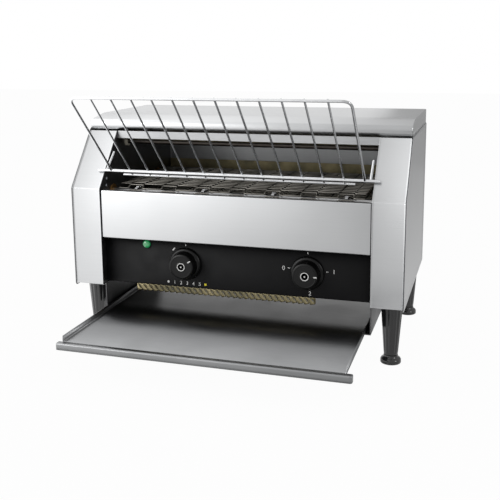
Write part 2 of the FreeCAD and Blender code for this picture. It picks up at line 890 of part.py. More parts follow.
def shaft_set(name, setback, right_end):
    """One conveyor shaft, its two flanged bushes and its sprockets."""
    left_end = plate_outer + bush_flange + fit_gap
    finish(f"{name}_shaft", rod(f"{name}_shaft_bar", "X", shaft_radius, left_end + right_end, -left_end,
                               setback, shaft_height))
    belt_sprockets(f"{name}_belt_sprockets", setback)
    bushes = []
    for side in (-1, 1):
        start = plate_inner - bush_flange if side > 0 else -plate_outer
        sleeve = rod(f"{name}_bush_sleeve_{side}", "X", bush_radius, plate_thick + bush_flange, start,
                     setback, shaft_height)
        flange_at = plate_inner - bush_flange if side > 0 else -plate_inner
        flange = rod(f"{name}_bush_flange_{side}", "X", bush_radius + bush_flange, bush_flange, flange_at,
                     setback, shaft_height)
        bore = rod(f"{name}_bush_bore_{side}", "X", shaft_radius + running_gap, plate_thick * 6,
                   start - plate_thick, setback, shaft_height)
        ring = fuse(f"{name}_bush_solid_{side}", [sleeve, flange])
        bushes.append(cut(f"{name}_bush_{side}", ring, [bore]))
    finish(f"{name}_bushes", group(f"{name}_bush_pair", bushes))


def chain_loop():
    """The roller chain, drawn as one closed band round both sprockets, with its pins."""
    centres = [
        Vector(0, drive_setback.number, shaft_height.number),
        Vector(0, motor_setback.number, motor_height.number),
    ]
    inner = [driven_radius.number + fit_gap.number, driver_radius.number + fit_gap.number]
    width = chain_width.number
    shapes = []
    for extra in (0, chain_thick.number):
        shapes.append(belt_blank(centres, [r + extra for r in inner], width))
    band = shapes[1].cut(shapes[0])
    band.translate(Vector(chain_plane.number - width / 2, 0, 0))
    solid("drive_chain", band)


def belt_blank(centres, radii, width):
    """The solid hull of two discs on the X axis."""
    across = centres[1].sub(centres[0])
    distance = across.Length
    lean = math.acos((radii[0] - radii[1]) / distance)
    base = math.atan2(across.z, across.y)
    points = []
    for sign in (1, -1):
        angle = base + sign * lean
        step = Vector(0, math.cos(angle), math.sin(angle))
        pair = [centres[i].add(Vector(step).multiply(radii[i])) for i in (0, 1)]
        points += pair if sign > 0 else pair[::-1]
    face = Part.Face(Part.makePolygon(points + [points[0]]))
    hull = face.extrude(Vector(width, 0, 0))
    for centre, radius in zip(centres, radii):
        hull = hull.fuse(Part.makeCylinder(radius, width, centre, Vector(1, 0, 0)))
    return hull.removeSplitter()


def drive():
    shaft_set("idler", idler_setback, plate_outer + bush_flange + fit_gap)
    shaft_set("drive", drive_setback, chain_plane + chain_width / 2)
    thick = chain_width.number - 1
    depth = chain_tooth.number
    ring = sprocket_ring(DRIVEN_TEETH, driven_radius.number, driven_radius.number - depth,
                         shaft_radius.number, thick)
    ring.translate(Vector(chain_plane.number - thick / 2, drive_setback.number, shaft_height.number))
    solid("driven_sprocket", ring)

    can = rod("motor_can", "X", motor_radius, motor_length, plate_outer, motor_setback, motor_height)
    boss = rod("motor_boss_ring", "X", motor_shaft_radius * 2, motor_boss, plate_outer + motor_length,
               motor_setback, motor_height)
    bore = rod("motor_bore", "X", motor_shaft_radius + running_gap, motor_length,
               plate_outer + motor_length - motor_bore_depth, motor_setback, motor_height)
    finish("gear_motor", cut("motor_bored", fuse("motor_whole", [can, boss]), [bore]))
    start = plate_outer + motor_length - motor_bore_depth + shaft_end_gap
    finish("motor_shaft", rod("motor_spindle", "X", motor_shaft_radius,
                             chain_plane + chain_width / 2 - start, start, motor_setback, motor_height))
    ring = sprocket_ring(DRIVER_TEETH, driver_radius.number, driver_radius.number - depth,
                         motor_shaft_radius.number, thick)
    ring.translate(Vector(chain_plane.number - thick / 2, motor_setback.number, motor_height.number))
    solid("motor_sprocket", ring)
    chain_loop()


def discharge():
    """The slide that turns the falling bread towards the tray."""
    back = case_depth - skin - fit_gap - slide_gap
    points = [
        (back, slide_top),
        (back, slide_knee),
        (slide_bend_setback, slide_bend_height),
        (slide_toe_setback, slide_toe_height),
    ]
    half = seat - skin - fit_gap
    chute = profile_body("discharge_sheet", bent_sheet(points, skin, -1), -half, half)
    tabs = []
    for side in (-1, 1):
        x = side * (half - slide_tab_width)
        tabs.append(block(f"slide_tab_{side}", (x - slide_tab_width / 2, x + slide_tab_width / 2),
                          (back, back + slide_gap),
                          (slide_top - slide_tab_drop, slide_top - slide_tab_drop + skin)))
    finish("discharge_slide", fuse("discharge_slide_whole", [chute] + tabs))


def tray():
    wall_x = tray_half_width - tray_wall_inset
    under = tray_floor - skin
    flat = block("tray_sheet", (-wall_x, wall_x), (-tray_reach, tray_back), (under, tray_floor))
    parts = [flat]
    parts.append(block("tray_lip_top", (-tray_half_width, tray_half_width),
                       (-tray_reach, -tray_reach + tray_wall_inset), (under, tray_floor)))
    parts.append(block("tray_lip_face", (-tray_half_width, tray_half_width),
                       (-tray_reach, -tray_reach + skin), (tray_floor - tray_lip, tray_floor)))
    for side in (-1, 1):
        low = wall_x - skin if side > 0 else -wall_x
        parts.append(block(f"tray_wall_{side}", (low, low + skin), (-tray_reach + tray_wall_inset, tray_back),
                           (under, tray_floor + tray_wall)))
    finish("bread_tray", fuse("tray_whole", parts))

    runners = []
    shelf_top = under - fit_gap
    span = (rail_end_gap, tray_back + runner_overrun)
    for side in (-1, 1):
        web = ordered(side, seat - skin, seat)
        shelf = ordered(side, wall_x - runner_width, seat)
        flange = ordered(side, seat - skin, bay + runner_flange)
        runners.append(fuse(f"runner_{side}", [
            block(f"runner_web_{side}", web, span, (shelf_top - skin, case_base)),
            block(f"runner_shelf_{side}", shelf, span, (shelf_top - skin, shelf_top)),
            block(f"runner_flange_{side}", flange, span, (case_base - skin, case_base)),
        ]))
    finish("tray_runners", group("runner_pair", runners))


def legs():
    neck_z = foot_height + foot_neck
    leg_base = neck_z + fit_gap
    leg_top = case_base
    bolts = []
    for place, (x, y) in leg_places.items():
        shank = taper(f"{place}_leg_cone", "Z", leg_neck_radius, leg_top_radius, leg_top - leg_base, x, y,
                      leg_base)
        bore = rod(f"{place}_leg_bore", "Z", stud_radius + fit_gap, stud_length + leg_bore_overrun * 2, x, y,
                   leg_base - leg_bore_overrun)
        insert = rod(f"{place}_leg_insert", "Z", stud_radius + running_gap, bolt_length, x, y,
                     leg_top - bolt_length / 2)
        finish(f"{place}_leg", cut(f"{place}_leg_bored", shank, [bore, insert]))
        ring = rod(f"{place}_foot_ring", "Z", foot_radius, foot_height, x, y, 0)
        neck = taper(f"{place}_foot_cone", "Z", foot_radius - foot_shoulder, leg_neck_radius, foot_neck, x, y,
                     foot_height)
        stud = rod(f"{place}_foot_stud", "Z", stud_radius, stud_length, x, y, foot_height)
        finish(f"{place}_foot", fuse(f"{place}_foot_whole", [ring, neck, stud]))
        bolt = rod(f"{place}_bolt", "Z", stud_radius, bolt_length, x, y, leg_top - bolt_length / 2)
        nut = rod(f"{place}_nut", "Z", nut_radius, nut_height, x, y, case_base + skin + rail_thick)
        bolts.append(fuse(f"{place}_bolt_whole", [bolt, nut]))
    finish("leg_bolts", group("leg_bolt_set", bolts))


def wire(points, radius):
    """A round wire along straight runs, with a ball at each inner corner."""
    shape = None
    for i in range(len(points) - 1):
        step = points[i + 1].sub(points[i])
        run = Part.makeCylinder(radius, step.Length, points[i], step)
        shape = run if shape is None else shape.fuse(run)
        if i:
            shape = shape.fuse(Part.makeSphere(radius, points[i]))
    return shape


RACK_WIRES = 12
CORNER_STEPS = 4


def loading_rack():
    """The wire rack that leans forward over the loading opening."""
    away = rack_rod_radius.number + fit_gap.number
    length = slope_length.number
    at_rest = (rack_rest_height.number - crease_height.number) / slope_rise.number
    rod_y = slope_setback.number * at_rest - away * slope_rise.number / length
    rod_z = rack_rest_height.number + away * slope_setback.number / length
    top_y = rod_y - rack_reach.number
    top_z = rod_z + rack_rise.number
    lean = math.hypot(rack_reach.number, rack_rise.number)
    down = Vector(0, rack_reach.number / lean, -rack_rise.number / lean)
    behind = Vector(0, rack_rise.number / lean, rack_reach.number / lean)
    half = rack_half_width.number

    end = bay.number + rack_rod_overhang.number
    shape = Part.makeCylinder(rack_rod_radius.number, 2 * end, Vector(-end, rod_y, rod_z), Vector(1, 0, 0))

    corner = rack_corner.number
    rail = [Vector(-half, rod_y, rod_z)]
    for side in (-1, 1):
        steps = range(CORNER_STEPS + 1)
        for step in steps if side < 0 else reversed(steps):
            angle = math.pi / 2 * step / CORNER_STEPS
            x = side * (half - corner + corner * math.cos(angle))
            drop = corner - corner * math.sin(angle)
            rail.append(Vector(x, top_y, top_z).add(Vector(down).multiply(drop)))
    rail.append(Vector(half, rod_y, rod_z))
    shape = shape.fuse(wire(rail, rack_frame_radius.number))

    offset = Vector(behind).multiply((rack_frame_radius.number + rack_wire_radius.number) * 0.7)
    spacing = 2 * half / (RACK_WIRES + 1)
    tail = Vector(0, rod_y, rod_z).add(Vector(down).multiply(rack_tail.number)).add(offset)
    top = Vector(0, top_y, top_z).add(offset)
    for i in range(RACK_WIRES):
        x = -half + spacing * (i + 1)
        shape = shape.fuse(wire([top.add(Vector(x, 0, 0)), tail.add(Vector(x, 0, 0))], rack_wire_radius.number))
    reach = half - spacing * 0.5
    shape = shape.fuse(wire([tail.add(Vector(-reach, 0, 0)), tail.add(Vector(reach, 0, 0))],
                            rack_frame_radius.number))

    up_y = slope_setback.number / length
    up_z = slope_rise.number / length
    for side in (-1, 1):
        x = side * (bay.number - rack_stay_gap.number)
        foot = Vector(x, rod_y, rod_z)
        crest = Vector(x, rod_y + 6 + up_y * rack_stay.number, rod_z + up_z * rack_stay.number)
        shape = shape.fuse(wire([foot, crest], rack_frame_radius.number))
        shape = shape.fuse(Part.makeSphere(rack_frame_radius.number, crest))
    solid("loading_rack", shape.removeSplitter())


def knob(name, x):
    """A skirted control knob and the spindle that it turns."""
    back = control_recess - knob_gap
    skirt = rod(f"{name}_skirt", "Y", knob_base_radius, knob_base_thick, x, back - knob_base_thick,
                knob_height)
    grip = taper(f"{name}_grip", "Y", knob_cap_radius, knob_foot_radius, knob_length - knob_base_thick, x,
                 back - knob_length, knob_height)
    bore = rod(f"{name}_bore", "Y", spindle_radius, knob_length, x, back - knob_base_thick * 2, knob_height)
    finish(f"{name}_knob", cut(f"{name}_knob_bored", fuse(f"{name}_knob_whole", [skirt, grip]), [bore]))
    spindle_start = back - knob_base_thick * 2
    spindle_end = control_recess + plate_thick + fit_gap + spindle_grip
    finish(f"{name}_spindle", rod(f"{name}_spindle_bar", "Y", spindle_radius, spindle_end - spindle_start, x,
                                 spindle_start, knob_height))


def switch_body(name, x, half, depth):
    """The control behind the panel that a spindle goes into."""
    start = control_recess + plate_thick
    box = block(f"{name}_box", (x - half, x + half), (start, start + depth),
                (knob_height - half, knob_height + half))
    socket = rod(f"{name}_socket", "Y", spindle_radius + running_gap, socket_depth, x,
                 start - fit_gap, knob_height)
    return finish(name, cut(f"{name}_bored", box, [socket]))


def controls():
    knob("speed", speed_knob_x)
    knob("selector", selector_knob_x)
    switch_body("speed_control", speed_knob_x, switch_size / 2, switch_depth * 0.7)
    switch_body("selector_switch", selector_knob_x, switch_size / 2, switch_depth)
    finish("lamp_lens", rod("lamp_dome", "Y", lamp_radius, lamp_rise, lamp_x, control_recess - lamp_rise,
                           lamp_height))
    finish("lamp_body", rod("lamp_barrel", "Y", lamp_body_radius, lamp_body_length, lamp_x, control_recess,
                            lamp_height))


def fan():
    """A small axial fan behind the vents of the right side cover."""
    x = leg_x
    back = case_depth - skin
    half = fan_size / 2
    frame = block("fan_frame", (x - half, x + half), (back - fan_depth, back),
                  (fan_height, fan_height + fan_size))
    duct = rod("fan_duct", "Y", half - 2, fan_depth * 0.8, x, back - fan_depth * 0.85, fan_centre)
    mouth = rod("fan_mouth", "Y", half - 2, fan_depth, x, back - fan_depth * 1.9, fan_centre)
    spokes = rod("fan_outlet", "Y", half - 2, fan_depth, x, back - fan_depth * 0.1, fan_centre)
    hub = rod("fan_post", "Y", half * 0.3, fan_depth * 0.2, x, back - fan_depth * 0.2, fan_centre)
    arm = block("fan_arm", (x - half + 1, x + half - 1), (back - fan_depth * 0.2, back - fan_depth * 0.1),
                (fan_centre - 1.5, fan_centre + 1.5))
    hollow = cut("fan_hollow", frame, [duct, mouth, spokes])
    finish("fan_housing", fuse("fan_housing_whole", [hollow, arm, hub]))

    front = back.number - fan_depth.number * 0.78
    deep = fan_depth.number * 0.55
    middle = Vector(x.number, front, fan_centre.number)
    rotor = Part.makeCylinder(half.number * 0.42, deep, middle, Vector(0, 1, 0))
    for i in range(7):
        blade = Part.makeBox(half.number - 3.2, 1.2, deep * 0.8, Vector(0, -0.6, -deep * 0.4))
        blade.rotate(Vector(0, 0, 0), Vector(1, 0, 0), 40)
        blade.rotate(Vector(0, 0, 0), Vector(0, 1, 0), 360 / 7 * i)
        blade.translate(middle.add(Vector(0, deep / 2, 0)))
        rotor = rotor.fuse(blade)
    solid("fan_rotor", rotor.removeSplitter())


def electrics():
    """The gland for the mains lead, and the parts in the left side."""
    back = case_depth
    wide = gland_radius
    collar = rod("gland_collar", "Y", wide, gland_reach, leg_x, back, gland_height)
    neck = rod("gland_neck", "Y", wide - gland_step, skin + gland_nut, leg_x, back - skin - gland_nut, gland_height)
    lock = rod("gland_lock", "Y", wide, gland_nut, leg_x, back - skin - gland_nut, gland_height)
    bore = rod("gland_bore_tool", "Y", gland_bore, gland_reach * 4, leg_x, back - gland_reach * 2,
               gland_height)
    finish("cable_gland", cut("gland_bored", fuse("gland_whole", [collar, neck, lock]), [bore]))
    outer = -plate_outer
    finish("terminal_block", block("terminal_box", (outer - terminal_depth, outer),
                                  (terminal_setback, terminal_setback + terminal_length),
                                  (terminal_base, terminal_base + terminal_height)))
    finish("limit_thermostat", rod("thermostat_can", "X", thermostat_radius, thermostat_depth,
                                  outer - thermostat_depth, thermostat_setback, thermostat_height))


def fasteners():
    """Lid posts, screws and rivets, each on the face that it holds."""
    parts = []
    for i, y in enumerate(lid_screw_places):
        for side in (-1, 1):
            parts.append(rod(f"lid_post_{i}_{side}", "Z", screw_head_radius, lid_top - skin - case_top,
                             side * leg_x, y, case_top))
    inner_y = case_depth - fit_gap
    for side in (-1, 1):
        for i, z in enumerate((case_base + rear_screw_margin, (case_base + case_top) / 2,
                               case_top - rear_screw_margin)):
            x = side * (bay - rear_screw_inset)
            parts.append(rod(f"rear_screw_{side}_{i}", "Y", screw_head_radius, screw_head, x, inner_y, z))
    for side in (-1, 1):
        for i in (-1, 1):
            start = plate_inner - rivet_head if side > 0 else -plate_inner
            parts.append(rod(f"rivet_{side}_{i}", "X", rivet_radius, rivet_head, start, rivet_setback + i,
                             rivet_height + rivet_pitch / 2 * i))
    finish("case_fasteners", group("fastener_set", parts))


def check():
    """Stops on any failed or broken object before anything is written."""
    doc.recompute()
    for thing in doc.Objects:
        if "Invalid" in thing.State or "Error" in thing.State:
            raise RuntimeError(f"{thing.Name} failed: {thing.State}")
    for thing in nodes:
        if thing.Shape.isNull() or not thing.Shape.isValid() or not thing.Shape.Solids:
            raise RuntimeError(f"{thing.Label} has no valid solid")


def write():
    os.makedirs("parts", exist_ok=True)
    whole = FreeCAD.BoundBox()
    for thing in nodes:
        thing.Shape.exportStep(f"parts/{thing.Label}.step")
        whole.add(thing.Shape.BoundBox)
        print(f"{thing.Label}: {len(thing.Shape.Solids)} solids, {thing.Shape.Volume / 1000:.2f} cm3")
    print(f"{len(nodes)} nodes, box {whole.XLength:.1f} x {whole.YLength:.1f} x {whole.ZLength:.1f} mm, "
          f"x {whole.XMin:.1f}, y {whole.YMin:.1f}, z {whole.ZMin:.1f}")


frame_pieces()
front_pieces()
heating()
conveyor_belt()
drive()
discharge()
tray()
legs()
loading_rack()
controls()
fan()
electrics()
fasteners()
check()
write()
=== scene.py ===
import json
import math

import bmesh
import bpy
from mathutils import Matrix, Vector


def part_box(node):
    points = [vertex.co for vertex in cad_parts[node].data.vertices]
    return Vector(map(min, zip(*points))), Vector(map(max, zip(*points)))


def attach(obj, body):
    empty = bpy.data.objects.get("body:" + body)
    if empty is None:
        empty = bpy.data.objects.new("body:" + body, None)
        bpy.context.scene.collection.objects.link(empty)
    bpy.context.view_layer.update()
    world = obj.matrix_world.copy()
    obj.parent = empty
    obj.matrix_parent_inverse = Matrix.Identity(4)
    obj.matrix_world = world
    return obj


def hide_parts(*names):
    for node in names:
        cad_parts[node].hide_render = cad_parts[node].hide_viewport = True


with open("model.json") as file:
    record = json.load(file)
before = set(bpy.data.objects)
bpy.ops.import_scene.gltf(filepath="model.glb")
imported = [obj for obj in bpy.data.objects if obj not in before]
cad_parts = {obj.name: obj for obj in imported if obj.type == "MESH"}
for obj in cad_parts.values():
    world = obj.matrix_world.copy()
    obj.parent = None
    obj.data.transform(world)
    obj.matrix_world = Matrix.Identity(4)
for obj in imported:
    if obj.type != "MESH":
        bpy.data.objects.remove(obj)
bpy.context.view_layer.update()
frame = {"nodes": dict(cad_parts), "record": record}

# Conveyor toaster: casing, wire rack, controls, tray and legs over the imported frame.
# Sizes are millimetres from the front plane of the side covers, as a maker would measure them.
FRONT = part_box("left_side_cover")[0].y

HALF_WIDTH = 237.5
BAY = 194.5
CASE_DEPTH = 268
CASE_BASE = 85
CREASE = 227
CASE_TOP = 304
SLOPE_SETBACK = 63
SKIN = 1.0
FOLD = 2.2


def at(x, y, z):
    """A point in the row frame from millimetres measured at the front plane."""
    return Vector((x / 1000, FRONT + y / 1000, z / 1000))


def linear(code):
    """A linear colour from an sRGB hex code."""
    parts = [int(code[i : i + 2], 16) / 255 for i in (1, 3, 5)]
    return [c / 12.92 if c <= 0.04045 else ((c + 0.055) / 1.055) ** 2.4 for c in parts] + [1.0]


# Finishes


def add_node(tree, kind, settings=None, links=None):
    """Adds a shader node, sets its options and sockets, and links its inputs."""
    node = tree.nodes.new(kind)
    for name, value in (settings or {}).items():
        if isinstance(name, str) and hasattr(node, name):
            setattr(node, name, value)
        else:
            node.inputs[name].default_value = value
    for name, source in (links or {}).items():
        tree.links.new(source, node.inputs[name])
    return node


def new_finish(name):
    """An empty material, its tree, its shader and its object coordinates."""
    material = bpy.data.materials.new(name)
    material.use_nodes = True
    tree = material.node_tree
    shader = tree.nodes["Principled BSDF"]
    place = add_node(tree, "ShaderNodeTexCoord").outputs["Object"]
    return material, tree, shader, place


def set_shader(shader, **values):
    """Sets sockets of the shader by name, with an underscore for each space."""
    for name, value in values.items():
        shader.inputs[name.replace("_", " ")].default_value = value


def per_metre(*millimetres):
    """Texture scale that repeats once in each of these lengths."""
    return [1000 / length for length in millimetres]


def rolled_steel(name, light, dark, rough, spread, grain, depth, smear):
    """Sheet steel: fine lines along X from rolling and brushing, and slow cloudy change over the sheet."""
    material, tree, shader, place = new_finish(name)
    stretched = add_node(tree, "ShaderNodeMapping", {"Scale": per_metre(*grain)}, {"Vector": place})
    lines = add_node(
        tree, "ShaderNodeTexNoise", {"Scale": 1.0, "Detail": 3.0}, {"Vector": stretched.outputs[0]}
    )
    clouds = add_node(tree, "ShaderNodeTexNoise", {"Scale": 1000 / smear, "Detail": 2.0}, {"Vector": place})
    both = add_node(
        tree,
        "ShaderNodeMix",
        {"data_type": "FLOAT", "Factor": 0.4},
        {"A": clouds.outputs["Fac"], "B": lines.outputs["Fac"]},
    )
    tone = add_node(tree, "ShaderNodeValToRGB", None, {"Fac": both.outputs[0]})
    tone.color_ramp.elements[0].position, tone.color_ramp.elements[0].color = 0.3, linear(dark)
    tone.color_ramp.elements[1].position, tone.color_ramp.elements[1].color = 0.7, linear(light)
    sheen = add_node(
        tree,
        "ShaderNodeMapRange",
        {"From Min": 0.3, "From Max": 0.7, "To Min": rough - spread, "To Max": rough + spread},
        {"Value": both.outputs[0]},
    )
    bump = add_node(
        tree, "ShaderNodeBump", {"Strength": depth, "Distance": 0.0001}, {"Height": lines.outputs["Fac"]}
    )
    set_shader(shader, Metallic=1.0)
    tree.links.new(tone.outputs["Color"], shader.inputs["Base Color"])
    tree.links.new(sheen.outputs[0], shader.inputs["Roughness"])
    tree.links.new(bump.outputs["Normal"], shader.inputs["Normal"])
    return material


def moulded(name, light, dark, rough, grain, depth, coat):
    """Moulded or painted surface: one colour with slight mottling and a fine skin texture."""
    material, tree, shader, place = new_finish(name)
    skin = add_node(tree, "ShaderNodeTexNoise", {"Scale": 1000 / grain, "Detail": 4.0}, {"Vector": place})
    wear = add_node(tree, "ShaderNodeTexNoise", {"Scale": 1000 / 25, "Detail": 2.0}, {"Vector": place})
    tone = add_node(tree, "ShaderNodeValToRGB", None, {"Fac": wear.outputs["Fac"]})
    tone.color_ramp.elements[0].position, tone.color_ramp.elements[0].color = 0.35, linear(dark)
    tone.color_ramp.elements[1].position, tone.color_ramp.elements[1].color = 0.65, linear(light)
    gloss = add_node(
        tree,
        "ShaderNodeMapRange",
        {"From Min": 0.3, "From Max": 0.7, "To Min": rough * 0.85, "To Max": rough * 1.15},
        {"Value": wear.outputs["Fac"]},
    )
    bump = add_node(
        tree, "ShaderNodeBump", {"Strength": depth, "Distance": 0.0002}, {"Height": skin.outputs["Fac"]}
    )
    set_shader(shader, Coat_Weight=coat, Coat_Roughness=0.08)
    tree.links.new(tone.outputs["Color"], shader.inputs["Base Color"])
    tree.links.new(gloss.outputs[0], shader.inputs["Roughness"])
    tree.links.new(bump.outputs["Normal"], shader.inputs["Normal"])
    return material


def painted_shade_under_machine(material):
    """Painted shade: darkens the tray's steel towards its rear, where it sits in shade under the machine."""
    tree = material.node_tree
    shader = tree.nodes["Principled BSDF"]
    tone = shader.inputs["Base Color"].links[0].from_socket
    place = add_node(tree, "ShaderNodeTexCoord").outputs["Object"]
    depth = add_node(tree, "ShaderNodeSeparateXYZ", None, {"Vector": place}).outputs["Y"]
    share = add_node(
        tree,
        "ShaderNodeMapRange",
        {"From Min": FRONT - 0.13, "From Max": FRONT + 0.02, "To Min": 0.0, "To Max": 0.75},
        {"Value": depth},
    )
    mix = add_node(tree, "ShaderNodeMix", {"data_type": "RGBA"}, {"Factor": share.outputs[0]})
    tree.links.new(tone, mix.inputs[6])
    # Painted shade: the dark grey that the tray's colour is mixed towards at its rear, under the machine.
    mix.inputs[7].default_value = linear("#3b3b3c")
    tree.links.new(mix.outputs[2], shader.inputs["Base Color"])


def heat_tinted_sheet():
    """Thin stainless that has been hot: straw, olive and brown patches over a dulled surface."""
    material, tree, shader, place = new_finish("heat_tinted_stainless")
    patches = add_node(tree, "ShaderNodeTexNoise", {"Scale": 1000 / 30, "Detail": 3.0}, {"Vector": place})
    tone = add_node(tree, "ShaderNodeValToRGB", None, {"Fac": patches.outputs["Fac"]})
    ramp = tone.color_ramp
    ramp.elements[0].position, ramp.elements[0].color = 0.3, linear("#6b6650")
    ramp.elements[1].position, ramp.elements[1].color = 0.7, linear("#a79b78")
    middle = ramp.elements.new(0.5)
    middle.color = linear("#8b8264")
    grit = add_node(tree, "ShaderNodeTexNoise", {"Scale": 1000 / 0.8, "Detail": 2.0}, {"Vector": place})
    bump = add_node(
        tree, "ShaderNodeBump", {"Strength": 0.2, "Distance": 0.0001}, {"Height": grit.outputs["Fac"]}
    )
    set_shader(shader, Metallic=0.8, Roughness=0.42)
    tree.links.new(tone.outputs["Color"], shader.inputs["Base Color"])
    tree.links.new(bump.outputs["Normal"], shader.inputs["Normal"])
    return material


def green_lamp():
    """Clear green polycarbonate lens over a small lit lamp, brightest in the middle."""
    material, tree, shader, place = new_finish("green_polycarbonate")
    facing = add_node(tree, "ShaderNodeLayerWeight", {"Blend": 0.35})
    tone = add_node(tree, "ShaderNodeValToRGB", None, {"Fac": facing.outputs["Facing"]})
    tone.color_ramp.elements[0].position, tone.color_ramp.elements[0].color = 0.1, linear("#1f9a58")
    tone.color_ramp.elements[1].position, tone.color_ramp.elements[1].color = 0.75, linear("#04301a")
    set_shader(shader, Roughness=0.1, Transmission_Weight=0.2, IOR=1.58, Emission_Strength=0.3)
    set_shader(shader, Coat_Weight=0.8, Coat_Roughness=0.08)
    tree.links.new(tone.outputs["Color"], shader.inputs["Base Color"])
    tree.links.new(tone.outputs["Color"], shader.inputs["Emission Color"])
    return material


finishes = {
    # Cold-rolled 1.4301 stainless, fine satin: soft, pale, almost mirror-bright near a window.
    "stainless_brushed": rolled_steel(
        "satin_stainless", "#bebfc0", "#b6b7b8", 0.3, 0.03, (60, 0.6, 0.6), 0.08, 90
    ),
    # The same sheet left with its mill skin: greyer and flatter.
    "stainless_dull": rolled_steel(
        "mill_stainless", "#a9aaab", "#979899", 0.4, 0.05, (40, 0.8, 0.8), 0.2, 50
    ),
    # Aluminised plate, browned and blackened by years of heat.
    "dark_steel": rolled_steel(
        "heat_blackened_plate", "#6a6a6b", "#505051", 0.45, 0.08, (12, 6, 6), 0.25, 30
    ),
    # Powder-coated control panel, very dark satin with a faint orange-peel skin.
    "black_panel": moulded("black_powder_coat", "#101011", "#0c0c0d", 0.55, 0.9, 0.06, 0.0),
    "heat_tinted_steel": heat_tinted_sheet(),
    # Incoloy heater tube, oxidised to a dull brown grey.
    "heater_sheath": rolled_steel(
        "oxidised_heater_tube", "#57524d", "#3d3936", 0.5, 0.08, (3, 3, 3), 0.3, 12
    ),
    # Unglazed steatite insulator, off-white and chalky.
    "ceramic": moulded("steatite_ceramic", "#d8d2c4", "#c6bfae", 0.7, 0.5, 0.15, 0.0),
    # Hard chrome on drawn wire: bright, with drawing lines that only soften the reflections.
    "bright_wire": rolled_steel("chromed_wire", "#cfd0d1", "#b9babc", 0.24, 0.05, (8, 0.8, 0.8), 0.1, 14),
    # The same wire on the belt, dulled and browned by the elements.
    "belt_wire_steel": rolled_steel(
        "heat_dulled_wire", "#8a8781", "#6b6862", 0.34, 0.08, (8, 0.8, 0.8), 0.15, 18
    ),
    # Turned and ground steel bar.
    "shaft_steel": rolled_steel("ground_steel_bar", "#a8a8a8", "#8d8d8e", 0.32, 0.06, (0.6, 6, 6), 0.2, 20),
    # Oil-filled sintered bronze, warm and matt.
    "bronze": rolled_steel("sintered_bronze", "#b98d55", "#95703f", 0.42, 0.06, (1.5, 1.5, 1.5), 0.2, 6),
    # Zinc plate, bluish and slightly cloudy.
    "zinc_steel": rolled_steel("zinc_plate", "#b4b8bd", "#969ba3", 0.36, 0.08, (3, 3, 3), 0.15, 8),
    # Pressed tray in darker satin stainless, with crumbs' worth of fine scratches.
    "tray_steel": rolled_steel("tray_stainless", "#8f9091", "#808182", 0.36, 0.05, (45, 0.7, 0.7), 0.18, 60),
    # Injection-moulded black ABS with a polished mould face.
    "black_gloss_plastic": moulded("gloss_black_abs", "#141415", "#101011", 0.24, 1.2, 0.03, 0.35),
    # Injection-moulded black nylon with a sparked mould face.
    "black_plastic": moulded("matt_black_nylon", "#1c1c1d", "#151516", 0.55, 0.5, 0.12, 0.0),
    # Turned aluminium spindle.
    "spindle_steel": rolled_steel("turned_aluminium", "#c9cacc", "#afb0b3", 0.3, 0.05, (3, 0.5, 3), 0.2, 8),
    "green_lens": green_lamp(),
}
# Sparked and sanded black surfaces scatter most of their shine.
for slot in ("black_panel", "black_plastic"):
    set_shader(finishes[slot].node_tree.nodes["Principled BSDF"], Specular_IOR_Level=0.15)
# Knobs: compression-moulded phenolic, jet black, with only a thin shine left after polishing.
black_phenolic = moulded("black_phenolic", "#0a0a0a", "#080808", 0.3, 1.0, 0.03, 0.0)
set_shader(black_phenolic.node_tree.nodes["Principled BSDF"], Specular_IOR_Level=0.22)
# Painted shade on the tray, darker towards its rear where it sits under the machine.
painted_shade_under_machine(finishes["tray_steel"])
# Screen-printed epoxy ink, slightly chalky and a hair thick.
white_ink = moulded("white_screen_ink", "#eeeeec", "#dededb", 0.6, 0.4, 0.1, 0.0)
yellow_ink = moulded("yellow_screen_ink", "#f2e23c", "#e5d22c", 0.6, 0.4, 0.1, 0.0)


# Shapes


def rounded(points, radius, steps=5, closed=False):
    """Replaces each corner of a run of points by a short arc. radius is one number or one for each point."""
    points = [Vector(p) for p in points]
    count = len(points)
    radii = list(radius) if isinstance(radius, (list, tuple)) else [radius] * count
    run = []
    for i, here in enumerate(points):
        if not closed and i in (0, count - 1):
            run.append(here)
            continue
        before, after = points[i - 1], points[(i + 1) % count]
        back, ahead = (before - here), (after - here)
        turn = back.angle(ahead)
        if radii[i] <= 0 or turn > math.pi - 0.01:
            run.append(here)
            continue
        reach = min(radii[i] / math.tan(turn / 2), back.length * 0.48, ahead.length * 0.48)
        start, end = here + back.normalized() * reach, here + ahead.normalized() * reach
        for step in range(steps + 1):
            t = step / steps
            run.append(start * (1 - t) ** 2 + here * 2 * t * (1 - t) + end * t * t)
    return run


def shifted(path, distance, closed):
    """The same run of (y, z) points moved sideways to its left by a distance."""
    moved = []
    for i, here in enumerate(path):
        sides = []
        if closed or i > 0:
            sides.append((here - path[i - 1]).normalized())
        if closed or i < len(path) - 1:
            sides.append((path[(i + 1) % len(path)] - here).normalized())
        normals = [Vector((-s.y, s.x)) for s in sides]
        middle = sum(normals, Vector((0, 0)))
        middle *= 1 / (1 + normals[0].dot(normals[-1])) if len(normals) > 1 else 1
        moved.append(here + middle * distance)
    return moved


def drawn_sheet(path, stations, closed=False, capped=""):
    """A skin along X: the (y, z) path at each (x, inset) station, with closed ends where asked."""
    bm = bmesh.new()
    rows = []
    for x, inset in stations:
        rows.append([bm.verts.new(at(x, p.x, p.y)) for p in shifted(path, inset, closed)])
    spans = len(path) if closed else len(path) - 1
    for low, high in zip(rows, rows[1:]):
        for i in range(spans):
            j = (i + 1) % len(path)
            bm.faces.new((low[i], low[j], high[j], high[i]))
    if "low" in capped:
        bm.faces.new(rows[0])
    if "high" in capped:
        bm.faces.new(rows[-1])
    bmesh.ops.recalc_face_normals(bm, faces=bm.faces)
    return bm


